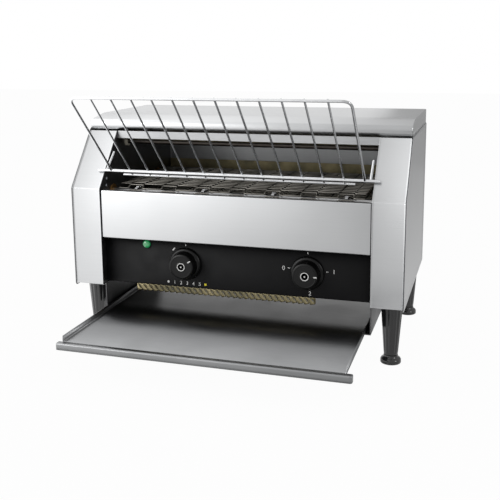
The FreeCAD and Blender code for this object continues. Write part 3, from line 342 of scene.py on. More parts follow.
def turned(profile, steps=48, shape=None):
    """A skin of (radius, height) points about Z, in millimetres.

    shape(angle, radius, height) may change a radius.
    """
    bm = bmesh.new()
    rings = []
    for radius, height in profile:
        if radius == 0:
            rings.append([bm.verts.new((0, 0, height))] * steps)
            continue
        ring = []
        for i in range(steps):
            angle = 2 * math.pi * i / steps
            r = shape(angle, radius, height) if shape else radius
            ring.append(bm.verts.new((r * math.cos(angle), r * math.sin(angle), height)))
        rings.append(ring)
    for low, high in zip(rings, rings[1:]):
        for i in range(steps):
            j = (i + 1) % steps
            corners = [low[i], low[j], high[j], high[i]]
            face = [v for n, v in enumerate(corners) if v not in corners[:n]]
            if len(face) > 2:
                bm.faces.new(face)
    for ring in (rings[0], rings[-1]):
        if ring[0] is not ring[1]:
            bm.faces.new(ring)
    bmesh.ops.recalc_face_normals(bm, faces=bm.faces)
    return bm


AXIS_OUT = {
    "up": Matrix.Identity(4),
    "front": Matrix.Rotation(math.radians(90), 4, "X"),
    "back": Matrix.Rotation(math.radians(-90), 4, "X"),
    "left": Matrix.Rotation(math.radians(-90), 4, "Y"),
    "right": Matrix.Rotation(math.radians(90), 4, "Y"),
}


def stand(bm, out, x, y, z):
    """Turns a piece made about Z to face a side, shrinks it to metres and sets it in place."""
    bm.transform(Matrix.Translation(at(x, y, z)) @ Matrix.Scale(0.001, 4) @ AXIS_OUT[out])
    return bm


def joined(pieces):
    """One bmesh from several."""
    whole = bmesh.new()
    for bm in pieces:
        mesh = bpy.data.meshes.new("part")
        bm.to_mesh(mesh)
        bm.free()
        whole.from_mesh(mesh)
        bpy.data.meshes.remove(mesh)
    return whole


def place_object(data, name, finish, body, stands_for):
    """Links an object, gives it its finish, hangs it on its body and hides the imported parts it stands for.
    """
    piece = bpy.data.objects.new(name, data)
    bpy.context.scene.collection.objects.link(piece)
    if isinstance(finish, str):
        data.materials.append(finishes[finish])
    else:
        data.materials.append(finish)
    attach(piece, body)
    if stands_for:
        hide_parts(*stands_for)
    return piece


def add_piece(bm, name, finish, body, stands_for=(), thick=0.0, edge=0.0, crisp=35):
    """A mesh piece: thick gives a sheet its gauge, edge rounds its sharp edges."""
    mesh = bpy.data.meshes.new(name)
    bm.to_mesh(mesh)
    bm.free()
    mesh.shade_smooth()
    mesh.set_sharp_from_angle(angle=math.radians(crisp))
    piece = place_object(mesh, name, finish, body, stands_for)
    if thick:
        gauge = piece.modifiers.new("gauge", "SOLIDIFY")
        gauge.thickness = thick / 1000
        gauge.offset = -1
        gauge.use_even_offset = True
    if edge:
        soften(piece, edge)
    return piece


def soften(piece, edge, angle=35):
    """Rounds the sharp edges of a piece and evens its shading."""
    bevel = piece.modifiers.new("edges", "BEVEL")
    bevel.width = edge / 1000
    bevel.segments = 2
    bevel.limit_method = "ANGLE"
    bevel.angle_limit = math.radians(angle)
    even = piece.modifiers.new("shading", "WEIGHTED_NORMAL")
    even.keep_sharp = True


def wires(runs, radius, name, finish, body, stands_for=(), roundness=4):
    """Round wires along runs of points, with closed ends."""
    curve = bpy.data.curves.new(name, "CURVE")
    curve.dimensions = "3D"
    curve.bevel_depth = radius / 1000
    curve.bevel_resolution = roundness
    curve.use_fill_caps = True
    for run in runs:
        spline = curve.splines.new("POLY")
        spline.points.add(len(run) - 1)
        for point, spot in zip(spline.points, run):
            point.co = (*spot, 1.0)
        spline.use_smooth = True
    return place_object(curve, name, finish, body, stands_for)


# Casing

cover_outline = rounded(
    [(0, CASE_BASE), (0, CREASE), (SLOPE_SETBACK, CASE_TOP), (CASE_DEPTH, CASE_TOP), (CASE_DEPTH, CASE_BASE)],
    FOLD,
    closed=True,
)


def gauge_inwards(bm, way):
    """Turns a sheet's faces so that its broad face looks along way and its gauge goes inwards."""
    bmesh.ops.recalc_face_normals(bm, faces=bm.faces)
    broad = max(bm.faces, key=lambda face: abs(face.normal.dot(way)) * face.calc_area())
    if broad.normal.dot(way) < 0:
        bmesh.ops.reverse_faces(bm, faces=bm.faces)


def side_cover(side, sign):
    """A folded stainless cover: its end face and rolled edges, open towards the machine."""
    stations = [
        (BAY, 0.42),
        (BAY + 0.4, 0.18),
        (BAY + 1.2, 0.03),
        (BAY + 2.2, 0.0),
        (HALF_WIDTH - 2.4, 0.0),
        (HALF_WIDTH - 1.3, 0.25),
        (HALF_WIDTH - 0.5, 0.8),
        (HALF_WIDTH - 0.1, 1.6),
        (HALF_WIDTH, 2.6),
    ]
    bm = drawn_sheet(cover_outline[::-1], [(sign * x, -inset) for x, inset in stations], True, "high")
    gauge_inwards(bm, Vector((sign, 0, 0)))
    return add_piece(
        bm, f"{side}_cover", "stainless_brushed", "casing", [f"{side}_side_cover"], SKIN, crisp=50
    )


side_cover("left", -1)
right_cover = side_cover("right", 1)


def cut_vents(piece, boxes):
    """Cuts straight slots through a piece."""
    bm = bmesh.new()
    for low, high in boxes:
        centre, span = (low + high) / 2, high - low
        matrix = Matrix.Translation(centre) @ Matrix.Diagonal((*span, 1))
        bmesh.ops.create_cube(bm, size=1, matrix=matrix)
    mesh = bpy.data.meshes.new("vent_tool")
    bm.to_mesh(mesh)
    bm.free()
    tool = bpy.data.objects.new("vent_tool", mesh)
    bpy.context.scene.collection.objects.link(tool)
    cutter = piece.modifiers.new("vents", "BOOLEAN")
    cutter.object = tool
    cutter.operation = "DIFFERENCE"
    cutter.solver = "EXACT"
    shaped = bpy.data.meshes.new_from_object(piece.evaluated_get(bpy.context.evaluated_depsgraph_get()))
    piece.modifiers.clear()
    piece.data = shaped
    bpy.data.objects.remove(tool)


FAN_X, FAN_Z, FAN_SIZE = 219, 134, 32
cut_vents(
    right_cover,
    [
        (
            at(FAN_X - 11.5, CASE_DEPTH - 4, FAN_Z + (i - 2) * FAN_SIZE / 5 - 1.6),
            at(FAN_X + 11.5, CASE_DEPTH + 4, FAN_Z + (i - 2) * FAN_SIZE / 5 + 1.6),
        )
        for i in range(5)
    ],
)

LID_BASE, LID_TOP, LID_SHOULDER, LID_NOSE_RUN = 306.5, 326.5, 7, 40
lid_path = rounded(
    [
        (SLOPE_SETBACK, LID_BASE),
        (SLOPE_SETBACK, LID_TOP - LID_SHOULDER),
        (SLOPE_SETBACK + LID_NOSE_RUN, LID_TOP),
        (CASE_DEPTH, LID_TOP),
        (CASE_DEPTH, LID_BASE),
    ],
    [0, 9, 120, 2, 0],
    8,
)


def lid():
    """The folded cap with a rolled front edge and closed ends."""
    ends = [(HALF_WIDTH - 1.4, 0.0), (HALF_WIDTH - 0.6, 0.25), (HALF_WIDTH - 0.1, 0.8), (HALF_WIDTH, 1.4)]
    stations = [(-x, -inset) for x, inset in ends[::-1]] + [(x, -inset) for x, inset in ends]
    bm = drawn_sheet(lid_path, stations, capped="low high")
    for vert in bm.verts:
        vert.co.z = max(vert.co.z, LID_BASE / 1000)
    gauge_inwards(bm, Vector((0, 0, 1)))
    return add_piece(bm, "lid", "stainless_brushed", "casing", ["top_cover"], 1.2, crisp=50)


lid()

panel_ends = [(192.1, 0.0), (192.8, 0.15), (193.2, 0.6), (193.3, 1.1)]
panel_path = rounded([(8.7, 225), (1.5, 225), (1.5, 156), (14.7, 156)], 1.6)


def front_panel():
    """The stainless panel over the controls, folded back at every edge."""
    stations = [(-x, inset) for x, inset in panel_ends[::-1]] + [(x, inset) for x, inset in panel_ends]
    bm = drawn_sheet(panel_path, stations)
    gauge_inwards(bm, Vector((0, -1, 0)))
    return add_piece(bm, "front_panel_sheet", "stainless_brushed", "casing", ["front_panel"], 1.0, crisp=50)


front_panel()

control_path = rounded([(15, 166), (15, 87), (27, 87)], 2.0)
add_piece(
    drawn_sheet(control_path, [(-194.6, 0.3), (-194.2, 0.0), (194.2, 0.0), (194.6, 0.3)]),
    "control_panel_sheet",
    "black_panel",
    "casing",
    ["control_panel"],
    1.4,
    crisp=50,
)


# Crumb guard


def pierced_strip(spot, left, right, low, high, pitch, wave):
    """A strip with a row of slanted oval holes.

    spot(along, up) places a point; wave scallops the low edge.
    """
    bm = bmesh.new()
    points = 16
    cells = int((right - left) / pitch)
    width = (right - left) / cells
    for n in range(cells):
        middle = left + width * (n + 0.5)
        centre = (low + high) / 2
        inner, outer = [], []
        for i in range(points):
            angle = 2 * math.pi * (i + 0.5) / points
            c, s = math.cos(angle), math.sin(angle)
            reach = min(width / 2 / abs(c), (high - low) / 2 / abs(s))
            along, up = c * reach, s * reach
            at_low_edge = up < -(high - low) * 0.45
            dip = wave * math.cos(2 * math.pi * (along + width * 0.2) / width) if at_low_edge else 0
            outer.append(bm.verts.new(spot(middle + along, centre + up - dip)))
            length, girth, lean = (high - low) * 0.33, pitch * 0.2, math.radians(-35)
            u, v = c * girth, s * length
            inner.append(
                bm.verts.new(
                    spot(
                        middle + u * math.cos(lean) - v * math.sin(lean) * -1,
                        centre + v * math.cos(lean) + u * math.sin(lean),
                    )
                )
            )
        for i in range(points):
            j = (i + 1) % points
            bm.faces.new((outer[i], outer[j], inner[j], inner[i]))
    bmesh.ops.remove_doubles(bm, verts=bm.verts, dist=0.00002)
    bmesh.ops.recalc_face_normals(bm, faces=bm.faces)
    return bm


GUARD_Y, GUARD_LOW, GUARD_TOP = 20, 76, 86.6
guard = [
    pierced_strip(lambda u, v: at(u, GUARD_Y, v), -150, 117, GUARD_LOW, GUARD_TOP, 8.5, 0.7),
    pierced_strip(lambda u, v: at(u, v, GUARD_TOP), -150, 117, GUARD_Y, GUARD_Y + 12, 8.5, 0.0),
    pierced_strip(lambda u, v: at(u, v, GUARD_TOP), -150, 117, GUARD_Y + 12, GUARD_Y + 24, 8.5, 0.0),
]
add_piece(joined(guard), "crumb_guard_strip", "heat_tinted_steel", "casing", ["crumb_guard"], 0.8, crisp=50)


# Loading rack

ROD_Y, ROD_Z = 16.81, 251.65
RACK_REACH = RACK_RISE = 111
RACK_HALF = 182
RACK_WIRES = 12
lean = 1 / math.sqrt(2)


def on_rack(x, down, behind=0.0):
    """A point of the rack: down its slope from the top rail, and behind its plane."""
    y = ROD_Y - RACK_REACH + (down + behind) * lean
    z = ROD_Z + RACK_RISE + (behind - down) * lean
    return at(x, y, z)


slope = RACK_REACH / lean
back = 2.45
frame_run = rounded(
    [on_rack(-RACK_HALF, slope), on_rack(-RACK_HALF, 0), on_rack(RACK_HALF, 0), on_rack(RACK_HALF, slope)],
    0.012,
    8,
)
spacing = 2 * RACK_HALF / (RACK_WIRES + 1)
places = [-RACK_HALF + spacing * (i + 1) for i in range(RACK_WIRES)]
tail = slope + 12
lower_ends = (-RACK_HALF + spacing / 2, RACK_HALF - spacing / 2)


def rack():
    """Chromed wires: the main rod, the bent frame, twelve cross wires, the lower rod and two end stays."""
    wires(
        [[at(-202.5, ROD_Y, ROD_Z), at(202.5, ROD_Y, ROD_Z)]],
        2.3,
        "rack_main_rod",
        "bright_wire",
        "rack",
        ["loading_rack"],
        6,
    )
    lower = [on_rack(x, tail, back) for x in lower_ends]
    wires([frame_run, lower], 1.8, "rack_frame_wires", "bright_wire", "rack", roundness=5)
    wires(
        [[on_rack(x, 0.2, back), on_rack(x, tail + 0.8, back)] for x in places],
        1.35,
        "rack_cross_wires",
        "bright_wire",
        "rack",
        roundness=5,
    )
    stays = []
    for sign in (-1, 1):
        x = sign * (BAY - 5)
        crest = at(x, ROD_Y + 6 + 19, ROD_Z + 23.2)
        stays.append([at(x, ROD_Y, ROD_Z), crest])
    wires(stays, 2.0, "rack_end_stays", "bright_wire", "rack", roundness=5)
    beads = []
    spots = [on_rack(x, 0.8, back / 2) for x in places] + [on_rack(x, slope, back / 2) for x in places]
    spots += [on_rack(x, tail, back) for x in places]
    spots += [on_rack(sign * RACK_HALF, slope) for sign in (-1, 1)]
    for spot in spots:
        bead = bmesh.new()
        bmesh.ops.create_uvsphere(
            bead,
            u_segments=14,
            v_segments=8,
            radius=0.0015,
            matrix=Matrix.Translation(spot) @ Matrix.Diagonal((1.35, 1, 1, 1)),
        )
        beads.append(bead)
    add_piece(joined(beads), "rack_weld_beads", "bright_wire", "rack", crisp=80)


rack()


# Conveyor belt

BELT_HALF, BELT_BAYS, BELT_WIRES = 180, 7, 34
IDLER_Y, DRIVE_Y, SHAFT_Z, BELT_RADIUS = 44, 206, 217, 12


def belt_spot(along):
    """(y, z) of the belt at a length along its loop."""
    run, turn = DRIVE_Y - IDLER_Y, math.pi * BELT_RADIUS
    along %= 2 * (run + turn)
    if along < run:
        return IDLER_Y + along, SHAFT_Z + BELT_RADIUS
    if run + turn < along < 2 * run + turn:
        return DRIVE_Y - (along - run - turn), SHAFT_Z - BELT_RADIUS
    rear = along <= run + turn
    angle = (along - run) / BELT_RADIUS if rear else math.pi + (along - 2 * run - turn) / BELT_RADIUS
    centre = DRIVE_Y if rear else IDLER_Y
    return centre + BELT_RADIUS * math.sin(angle), SHAFT_Z + BELT_RADIUS * math.cos(angle)


def belt():
    """Cranked wires, each hooked up to the next, round both shafts."""
    pitch = 2 * (DRIVE_Y - IDLER_Y + math.pi * BELT_RADIUS) / BELT_WIRES
    bay = 2 * BELT_HALF / BELT_BAYS
    crank = bay * 0.42 / 2
    runs = []
    for i in range(BELT_WIRES):
        y, z = belt_spot(pitch * i)
        next_y, next_z = belt_spot(pitch * (i + 1))
        step = math.hypot(next_y - y, next_z - z)
        share = (step - 2.6) / step
        path = [Vector((-BELT_HALF, 0))]
        for n in range(BELT_BAYS):
            middle = -BELT_HALF + bay * (n + 0.5)
            path += [Vector((middle + a * crank, b * share)) for a, b in ((-1, 0), (-1, 1), (1, 1), (1, 0))]
        path.append(Vector((BELT_HALF, 0)))
        points = [at(x, y + (next_y - y) * t, z + (next_z - z) * t) for x, t in path]
        runs.append(rounded(points, 0.0022, 3))
    wires(runs, 1.0, "belt_wires", "belt_wire_steel", "casing", ["conveyor_belt"], 3)


belt()


# Controls

KNOB_Z, PANEL_Y = 122.5, 15
KNOB_BACK = PANEL_Y - 0.8
KNOB_LENGTH = 20
knob_profile = [
    (0, 0),
    (22.6, 0),
    (23.5, 0.8),
    (23.5, 2.6),
    (23.0, 4.0),
    (21.9, 5.2),
    (20.4, 5.9),
    (19.6, 6.0),
    (19.2, 6.4),
    (18.9, 7.4),
    (18.4, 16.0),
    (18.1, 18.0),
    (17.5, 19.3),
    (16.3, 19.9),
    (15.0, 20.0),
    (14.6, 19.7),
    (7.6, 19.7),
    (7.3, 19.9),
    (0, 20.0),
]


def flat_mark(outline, x, y, z, thick=0.12):
    """A thin printed shape from (x, z) points, facing the front."""
    bm = bmesh.new()
    front = [bm.verts.new(at(x + u, y - thick, z + v)) for u, v in outline]
    back_ring = [bm.verts.new(at(x + u, y, z + v)) for u, v in outline]
    bm.faces.new(front)
    bm.faces.new(back_ring[::-1])
    for i in range(len(outline)):
        j = (i + 1) % len(outline)
        bm.faces.new((front[i], front[j], back_ring[j], back_ring[i]))
    bmesh.ops.recalc_face_normals(bm, faces=bm.faces)
    return bm


def ring_mark(outer, inner, x, y, z, thick=0.12, steps=40):
    """A thin printed ring facing the front."""
    section = [(inner, 0), (outer, 0), (outer, thick), (inner, thick), (inner, 0)]
    return stand(turned(section, steps), "front", x, y, z)


def bar(near, far, half, angle):
    """The outline of a bar along a radius. angle is clockwise from the top."""
    a = math.radians(angle)
    along, across = Vector((math.sin(a), math.cos(a))), Vector((math.cos(a), -math.sin(a)))
    return [along * near - across * half, along * near + across * half, along * far + across * half,
            along * far - across * half]


def disc(radius, steps=20):
    """The outline of a round dot."""
    return [(radius * math.cos(2 * math.pi * i / steps), radius * math.sin(2 * math.pi * i / steps))
            for i in range(steps)]


def knob(name, body, x, pointing):
    """A skirted black knob with a printed ring and pointer."""
    add_piece(
        stand(turned(knob_profile, 72), "front", x, KNOB_BACK, KNOB_Z),
        f"{name}_knob_moulding",
        black_phenolic,
        body,
        [f"{name}_knob"],
        crisp=32,
    )
    face = KNOB_BACK - KNOB_LENGTH
    marks = [
        ring_mark(5.8, 4.7, x, face + 0.02, KNOB_Z),
        flat_mark(disc(1.1), x, face + 0.02, KNOB_Z),
        flat_mark(bar(12.4, 16.6, 0.8, pointing), x, face + 0.3, KNOB_Z, 0.5),
    ]
    add_piece(joined(marks), f"{name}_knob_marks", white_ink, body)


SPEED_X, SELECTOR_X = -70, 107
knob("speed", "left_knob", SPEED_X, 56)
knob("selector", "right_knob", SELECTOR_X, 90)

LAMP_X, LAMP_Z = -130, 147
add_piece(
    stand(
        turned([(0, 0), (5.9, 0), (6.0, 0.6), (5.7, 1.6), (5.0, 2.4), (3.8, 3.0), (2.0, 3.4), (0, 3.5)], 40),
        "front",
        LAMP_X,
        PANEL_Y,
        LAMP_Z,
    ),
    "lamp_dome",
    "green_lens",
    "casing",
    ["lamp_lens"],
    crisp=60,
)


LOZENGE = [(-2.4, -0.9), (1.0, 3.2), (2.4, 2.3), (-1.0, -1.8)]
SQUARE = [(-1.6, -1.6), (1.6, -1.6), (1.6, 1.6), (-1.6, 1.6)]
EM_PER_FIGURE = 1.4


def panel_marks():
    """Plain ticks, dots and numbers where the real panel has its printing."""
    white = [
        flat_mark(LOZENGE, SPEED_X - 18.4, PANEL_Y, KNOB_Z + 19.0),
        flat_mark(disc(1.7), SPEED_X - 27.8, PANEL_Y, KNOB_Z - 28.9),
        flat_mark(bar(25.5, 28, 0.45, 0), SPEED_X, PANEL_Y, KNOB_Z),
    ]
    for angle in (-80, 84, 0):
        white.append(flat_mark(bar(25.5, 28.5, 0.5, angle), SELECTOR_X, PANEL_Y, KNOB_Z))
    add_piece(joined(white), "panel_marks", white_ink, "casing")
    add_piece(
        flat_mark(SQUARE, SPEED_X + 28.6, PANEL_Y, KNOB_Z - 29.1),
        "panel_full_mark",
        yellow_ink,
        "casing",
    )
    numbers = [
        ("1", SPEED_X - 18, KNOB_Z - 29.4, 5.2),
        ("2", SPEED_X - 8.5, KNOB_Z - 29.4, 5.2),
        ("3", SPEED_X + 1, KNOB_Z - 29.4, 5.2),
        ("4", SPEED_X + 10.5, KNOB_Z - 29.4, 5.2),
        ("5", SPEED_X + 20, KNOB_Z - 29.4, 5.2),
        ("0", SELECTOR_X - 34, KNOB_Z + 4.0, 6.0),
        ("1", SELECTOR_X + 36, KNOB_Z + 3.4, 6.0),
        ("2", SELECTOR_X + 3, KNOB_Z - 29.4, 6.0),
    ]
    for n, (text, x, z, tall) in enumerate(numbers):
        data = bpy.data.curves.new(f"panel_number_{n}", "FONT")
        data.body = text
        data.size = tall * EM_PER_FIGURE / 1000
        data.extrude = 0.00006
        data.align_x = "CENTER"
        data.align_y = "CENTER"
        number = place_object(data, f"panel_number_{n}", white_ink, "casing", ())
        number.location = at(x, PANEL_Y - 0.06, z)
        number.rotation_euler = (math.radians(90), 0, 0)


panel_marks()


# Tray

TRAY_FLOOR, TRAY_REACH, TRAY_BACK = 47, 138, 158
TRAY_HALF, TRAY_WALL_X, TRAY_WALL, TRAY_LIP = 195, 187, 8, 9


def tray():
    """The pressed tray: floor with rolled side walls, and a front edge turned down over rounded corners."""
    section = rounded(
        [(-TRAY_WALL_X, TRAY_FLOOR + TRAY_WALL), (-TRAY_WALL_X, TRAY_FLOOR), (TRAY_WALL_X, TRAY_FLOOR),
         (TRAY_WALL_X, TRAY_FLOOR + TRAY_WALL)],
        2.0,
    )
    bm = bmesh.new()
    rows = [[bm.verts.new(at(p.x, y, p.y)) for p in section] for y in (-TRAY_REACH + 8, TRAY_BACK)]
    for i in range(len(section) - 1):
        bm.faces.new((rows[0][i], rows[0][i + 1], rows[1][i + 1], rows[1][i]))
    bmesh.ops.recalc_face_normals(bm, faces=bm.faces)
    pan = add_piece(bm, "tray_pan", "tray_steel", "tray", ["bread_tray"], 1.2, crisp=50)
    pan.modifiers["gauge"].offset = 1 if pan.data.polygons[len(section) // 2].normal.z < 0 else -1

    plan = rounded(
        [(-TRAY_HALF, -TRAY_REACH + 8.2), (-TRAY_HALF, -TRAY_REACH), (TRAY_HALF, -TRAY_REACH),
         (TRAY_HALF, -TRAY_REACH + 8.2)],
        5.0,
        6,
    )
    bm = bmesh.new()
    inner = [bm.verts.new(at(max(min(p.x, 186.9), -186.9), -TRAY_REACH + 8.2, TRAY_FLOOR)) for p in plan]
    rings = [inner]
    for inset, drop in ((1.8, 0.0), (0.6, 0.35), (0.1, 1.0), (0.0, 1.8), (0.0, TRAY_LIP)):
        moved = shifted(plan, inset, False)
        rings.append([bm.verts.new(at(p.x, p.y, TRAY_FLOOR - drop)) for p in moved])
    for low, high in zip(rings, rings[1:]):
        for i in range(len(plan) - 1):
            bm.faces.new((low[i], low[i + 1], high[i + 1], high[i]))
    bmesh.ops.remove_doubles(bm, verts=bm.verts, dist=0.00001)
    bmesh.ops.recalc_face_normals(bm, faces=bm.faces)
    add_piece(bm, "tray_front_edge", "tray_steel", "tray", (), 1.1, crisp=50)


tray()


# Legs and feet

LEG_X = 219
leg_places = {
    "front_left": (-LEG_X, 33),
    "front_right": (LEG_X, 33),
    "rear_left": (-LEG_X, 243),
    "rear_right": (LEG_X, 243),
}
FLUTES = 12


def fluted(angle, radius, height):
    """The leg's ribs, which fade out at its plain top and bottom bands."""
    fade = min(1.0, max(0.0, (height - 14) / 5), max(0.0, (82 - height) / 5))
    return radius - fade * 0.9 * (0.5 - 0.5 * math.cos(FLUTES * angle)) ** 2


leg_profile = [(0, 12.4), (9.2, 12.4), (9.5, 12.8), (9.5, 14)]
leg_profile += [(9.5 + 5.5 * (z - 12.3) / 72.7, z) for z in (15, 17, 19, 30, 45, 60, 75, 77, 80, 82)]
leg_profile += [(14.9, 83.5), (14.9, 84.8), (0, 84.8)]


def thread(low, high, radius, pitch=1.25):
    """A fine screw thread drawn as rings."""
    turns = int((high - low) / pitch)
    return [(radius - (0.45 if i % 2 else 0), low + i * pitch / 2) for i in range(turns * 2)]


foot_profile = [(0, 0), (12.6, 0), (13.8, 0.6), (14, 1.6), (14, 2.4), (13.6, 2.8), (13.6, 3.3), (14, 3.7),
                (13.9, 5.2), (13.0, 6.8), (11.4, 7.9), (10.3, 9.0), (9.8, 10.4), (9.5, 11.9), (4, 12.0)]
foot_profile += thread(12.1, 37, 4) + [(0, 37)]

for place, (x, y) in leg_places.items():
    add_piece(
        stand(turned(leg_profile, 96, fluted), "up", x, y, 0),
        f"{place}_leg_moulding",
        "black_gloss_plastic",
        "casing",
        [f"{place}_leg"],
        crisp=40,
    )
    add_piece(
        stand(turned(foot_profile, 56), "up", x, y, 0),
        f"{place}_foot_moulding",
        "black_gloss_plastic",
        f"{place}_foot_screw",
        [f"{place}_foot"],
        crisp=40,
    )


# Fasteners and gland


def cross_recess(bm, half=0.45, reach=2.0, deep=0.9):
    """Sinks a cross into the head of a screw that was made about Z."""
    for vert in bm.verts:
        x, y, z = vert.co
        if z > 0.5 and math.hypot(x, y) < reach and min(abs(x), abs(y)) < half:
            vert.co.z -= deep
    return bm


def screw_head():
    """A domed pan head with a cross recess."""
    profile = [(0, 0), (3.5, 0), (3.6, 0.3), (3.3, 0.9)]
    profile += [(3.3 - i * 0.165, 0.9 + 0.9 * math.sin(math.radians(i * 4.5))) for i in range(1, 20)]
    return cross_recess(turned(profile + [(0, 1.8)], 64))


def fasteners():
    """Pan-head screws on the rear panel, dome rivets in the frame plates and the posts under the lid."""
    parts = []
    for side in (-1, 1):
        for z in (99, 194.5, 290):
            parts.append(stand(screw_head(), "back", side * (BAY - 9), CASE_DEPTH - 0.3, z))
        for y, z in ((26, 238), (24, 228)):
            dome = turned([(0, 0), (2.6, 0), (2.5, 0.4), (2.0, 0.8), (1.2, 1.1), (0, 1.2)], 24)
            parts.append(stand(dome, "left" if side > 0 else "right", side * 195, y, z))
        for y in (CASE_DEPTH * 0.5, CASE_DEPTH * 0.88):
            post = turned([(0, 0), (3.3, 0), (3.6, 0.3), (3.6, 21.0), (3.3, 21.3), (0, 21.3)], 32)
            parts.append(stand(post, "up", side * LEG_X, y, CASE_TOP))
    add_piece(joined(parts), "screws_and_rivets", "zinc_steel", "casing", ["case_fasteners"], crisp=40)


fasteners()


def hexed(angle, radius, height):
    """A six-sided nut where the gland meets the cover, and fine grips on its cap."""
    if -7.3 < height < 4.6 and radius > 7.5:
        flat = math.cos(math.pi / 6) / math.cos((angle + math.pi / 6) % (math.pi / 3) - math.pi / 6)
        return radius * flat
    if 5.4 < height < 9.5 and radius > 7:
        return radius - 0.35 * (0.5 - 0.5 * math.cos(18 * angle))
    return radius


gland_profile = [(4.5, -7.2), (8.9, -7.2), (9, -6.9), (9, -1.5), (7, -1.3), (7, -0.1), (8.9, 0),
                 (9, 0.3), (9, 4.2), (8.7, 4.6), (7.6, 4.8), (8.3, 5.4), (8.5, 6.4), (8.3, 8.6),
                 (7.6, 10.4), (6.6, 11.5), (5.4, 12), (4.6, 11.7), (4.5, 11.0), (4.5, -7.2)]
add_piece(
    stand(turned(gland_profile, 72, hexed), "back", LEG_X, CASE_DEPTH, 104),
    "gland_moulding",
    "black_plastic",
    "casing",
    ["cable_gland"],
    crisp=32,
)


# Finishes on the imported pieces

own_finish = {row["node"]: row["material_slot"] for row in frame["record"]["subparts"]}
for name, packed in frame["nodes"].items():
    if packed.hide_render or name not in own_finish:
        continue
    for spot in packed.material_slots:
        spot.material = finishes[own_finish[name]]
    weld = packed.modifiers.new("weld", "WELD")
    weld.merge_threshold = 0.00001
    soften(packed, 0.25, 40)


# Floor, lights and camera


# How bright the room is in reflections, on its left and on its right.
FLOOR_GLOW, SKY_GLOW = (2.2, 0.4), (2.2, 0.82)
# How much of the floor reads as white; the rest takes the shadow.
FLOOR_WHITE = 0.965


def brighter_left(tree, across, path, left, right, glow):
    """White to the camera; in reflections the room's brightness falls from its left side to its right."""
    fall = add_node(
        tree,
        "ShaderNodeMapRange",
        {
            "interpolation_type": "SMOOTHSTEP",
            "From Min": -left,
            "From Max": right,
            "To Min": glow[0],
            "To Max": glow[1],
        },
        {"Value": across},
    )
    mix = add_node(
        tree,
        "ShaderNodeMix",
        {"data_type": "FLOAT"},
        {"Factor": path.outputs["Is Glossy Ray"], "B": fall.outputs[0]},
    )
    mix.inputs["A"].default_value = 1.0
    return mix.outputs[0]


def studio_floor():
    """A pale floor that reads white to the camera and keeps a soft shadow."""
    bm = bmesh.new()
    bmesh.ops.create_grid(bm, x_segments=1, y_segments=1, size=6)
    mesh = bpy.data.meshes.new("studio_floor")
    bm.to_mesh(mesh)
    bm.free()
    floor = bpy.data.objects.new("studio_floor", mesh)
    bpy.context.scene.collection.objects.link(floor)
    floor.location.z = -0.0005
    material, tree, shader, place = new_finish("pale_floor_paint")
    set_shader(shader, Base_Color=linear("#e9e9e9"), Roughness=0.9)
    path = add_node(tree, "ShaderNodeLightPath")
    across = add_node(tree, "ShaderNodeSeparateXYZ", None, {"Vector": place}).outputs["X"]
    strength = brighter_left(tree, across, path, 1.3, 0.9, FLOOR_GLOW)
    glow = add_node(tree, "ShaderNodeEmission", {"Color": (1, 1, 1, 1)}, {"Strength": strength})
    seen = add_node(
        tree,
        "ShaderNodeMath",
        {"operation": "MAXIMUM"},
        {0: path.outputs["Is Camera Ray"], 1: path.outputs["Is Glossy Ray"]},
    )
    share = add_node(tree, "ShaderNodeMath", {"operation": "MULTIPLY", 1: FLOOR_WHITE}, {0: seen.outputs[0]})
    mix = add_node(
        tree, "ShaderNodeMixShader", None, {"Fac": share.outputs[0], 1: shader.outputs[0], 2: glow.outputs[0]}
    )
    tree.links.new(mix.outputs[0], tree.nodes["Material Output"].inputs["Surface"])
    mesh.materials.append(material)


studio_floor()


def studio_world():
    """White to the camera, brighter on the left in reflections, and a softer grey as light."""
    world = bpy.data.worlds.new("studio")
    world.use_nodes = True
    tree = world.node_tree
    light = tree.nodes["Background"]
    light.inputs["Color"].default_value = (1, 1, 1, 1)
    light.inputs["Strength"].default_value = 0.5
    path = add_node(tree, "ShaderNodeLightPath")
    direction = add_node(tree, "ShaderNodeTexCoord").outputs["Generated"]
    across = add_node(tree, "ShaderNodeSeparateXYZ", None, {"Vector": direction}).outputs["X"]
    strength = brighter_left(tree, across, path, 0.7, 0.1, SKY_GLOW)
    white = add_node(tree, "ShaderNodeBackground", {"Color": (1, 1, 1, 1)}, {"Strength": strength})
    seen = path.outputs["Is Camera Ray"]
    for ray in ("Is Glossy Ray", "Is Transmission Ray"):
        either = add_node(tree, "ShaderNodeMath", {"operation": "MAXIMUM"}, {0: seen, 1: path.outputs[ray]})
        seen = either.outputs[0]
    mix = add_node(tree, "ShaderNodeMixShader", None, {"Fac": seen, 1: light.outputs[0], 2: white.outputs[0]})
    tree.links.new(mix.outputs[0], tree.nodes["World Output"].inputs["Surface"])
    bpy.context.scene.world = world


studio_world()


def soft_light(name, spot, target, size, power):
    """A softbox aimed at a point."""
    lamp = bpy.data.lights.new(name, "AREA")
    lamp.shape = "RECTANGLE"
    lamp.size, lamp.size_y = size
    lamp.energy = power
    box = bpy.data.objects.new(name, lamp)
    bpy.context.scene.collection.objects.link(box)
    box.location = spot
    box.rotation_mode = "QUATERNION"
    box.rotation_quaternion = (Vector(target) - Vector(spot)).to_track_quat("-Z", "Y")


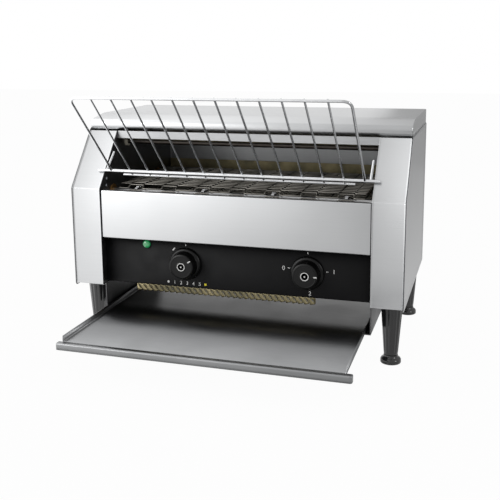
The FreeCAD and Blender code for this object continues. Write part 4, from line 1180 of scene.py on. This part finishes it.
soft_light("key_softbox", (-1.5, -1.6, 0.9), (0, 0, 0.2), (1.2, 0.9), 14)
soft_light("right_softbox", (1.6, -0.6, 0.8), (0, 0, 0.2), (0.4, 0.8), 5)


def reflected_card(name, spot, target, size, shade):
    """A pale card out of the picture, seen only in the metal's reflections."""
    bm = bmesh.new()
    bmesh.ops.create_grid(bm, x_segments=1, y_segments=1, size=0.5)
    mesh = bpy.data.meshes.new(name)
    bm.to_mesh(mesh)
    bm.free()
    card = bpy.data.objects.new(name, mesh)
    bpy.context.scene.collection.objects.link(card)
    card.location = spot
    card.scale = (*size, 1)
    card.rotation_mode = "QUATERNION"
    card.rotation_quaternion = (Vector(target) - Vector(spot)).to_track_quat("Z", "Y")
    material = bpy.data.materials.new(f"{name}_paper")
    material.use_nodes = True
    tree = material.node_tree
    glow = add_node(tree, "ShaderNodeEmission", {"Color": linear(shade), "Strength": 1.0})
    tree.links.new(glow.outputs[0], tree.nodes["Material Output"].inputs["Surface"])
    mesh.materials.append(material)
    card.visible_camera = card.visible_diffuse = card.visible_shadow = False


reflected_card("rear_card", (0.75, 1.6, 0.4), (0.3, 0, 0.3), (1.5, 1.4), "#b4b4b4")
reflected_card("rear_left_card", (-0.95, 1.7, 0.4), (0, 0, 0.3), (1.8, 1.4), "#ffffff")

YAW, PITCH, ROLL = math.radians(17.1), math.radians(10.39), math.radians(-0.49)
forward = Vector((-math.sin(YAW) * math.cos(PITCH), math.cos(YAW) * math.cos(PITCH), -math.sin(PITCH)))
right = Vector((math.cos(YAW), math.sin(YAW), 0))
upward = right.cross(forward)
across = right * math.cos(ROLL) + upward * math.sin(ROLL)
over = upward * math.cos(ROLL) - right * math.sin(ROLL)
turn = Matrix((across, over, -forward)).transposed()

lens = bpy.data.cameras.new("camera")
lens.lens = 57.23
lens.sensor_width = 36
lens.shift_y = -0.12
lens.clip_start = 0.05
camera = bpy.data.objects.new("camera", lens)
bpy.context.scene.collection.objects.link(camera)
camera.matrix_world = Matrix.Translation((0.3389, -1.0735, 0.4281)) @ turn.to_4x4()
bpy.context.scene.camera = camera
bpy.context.scene.view_settings.view_transform = "Standard"

bpy.context.view_layer.update()
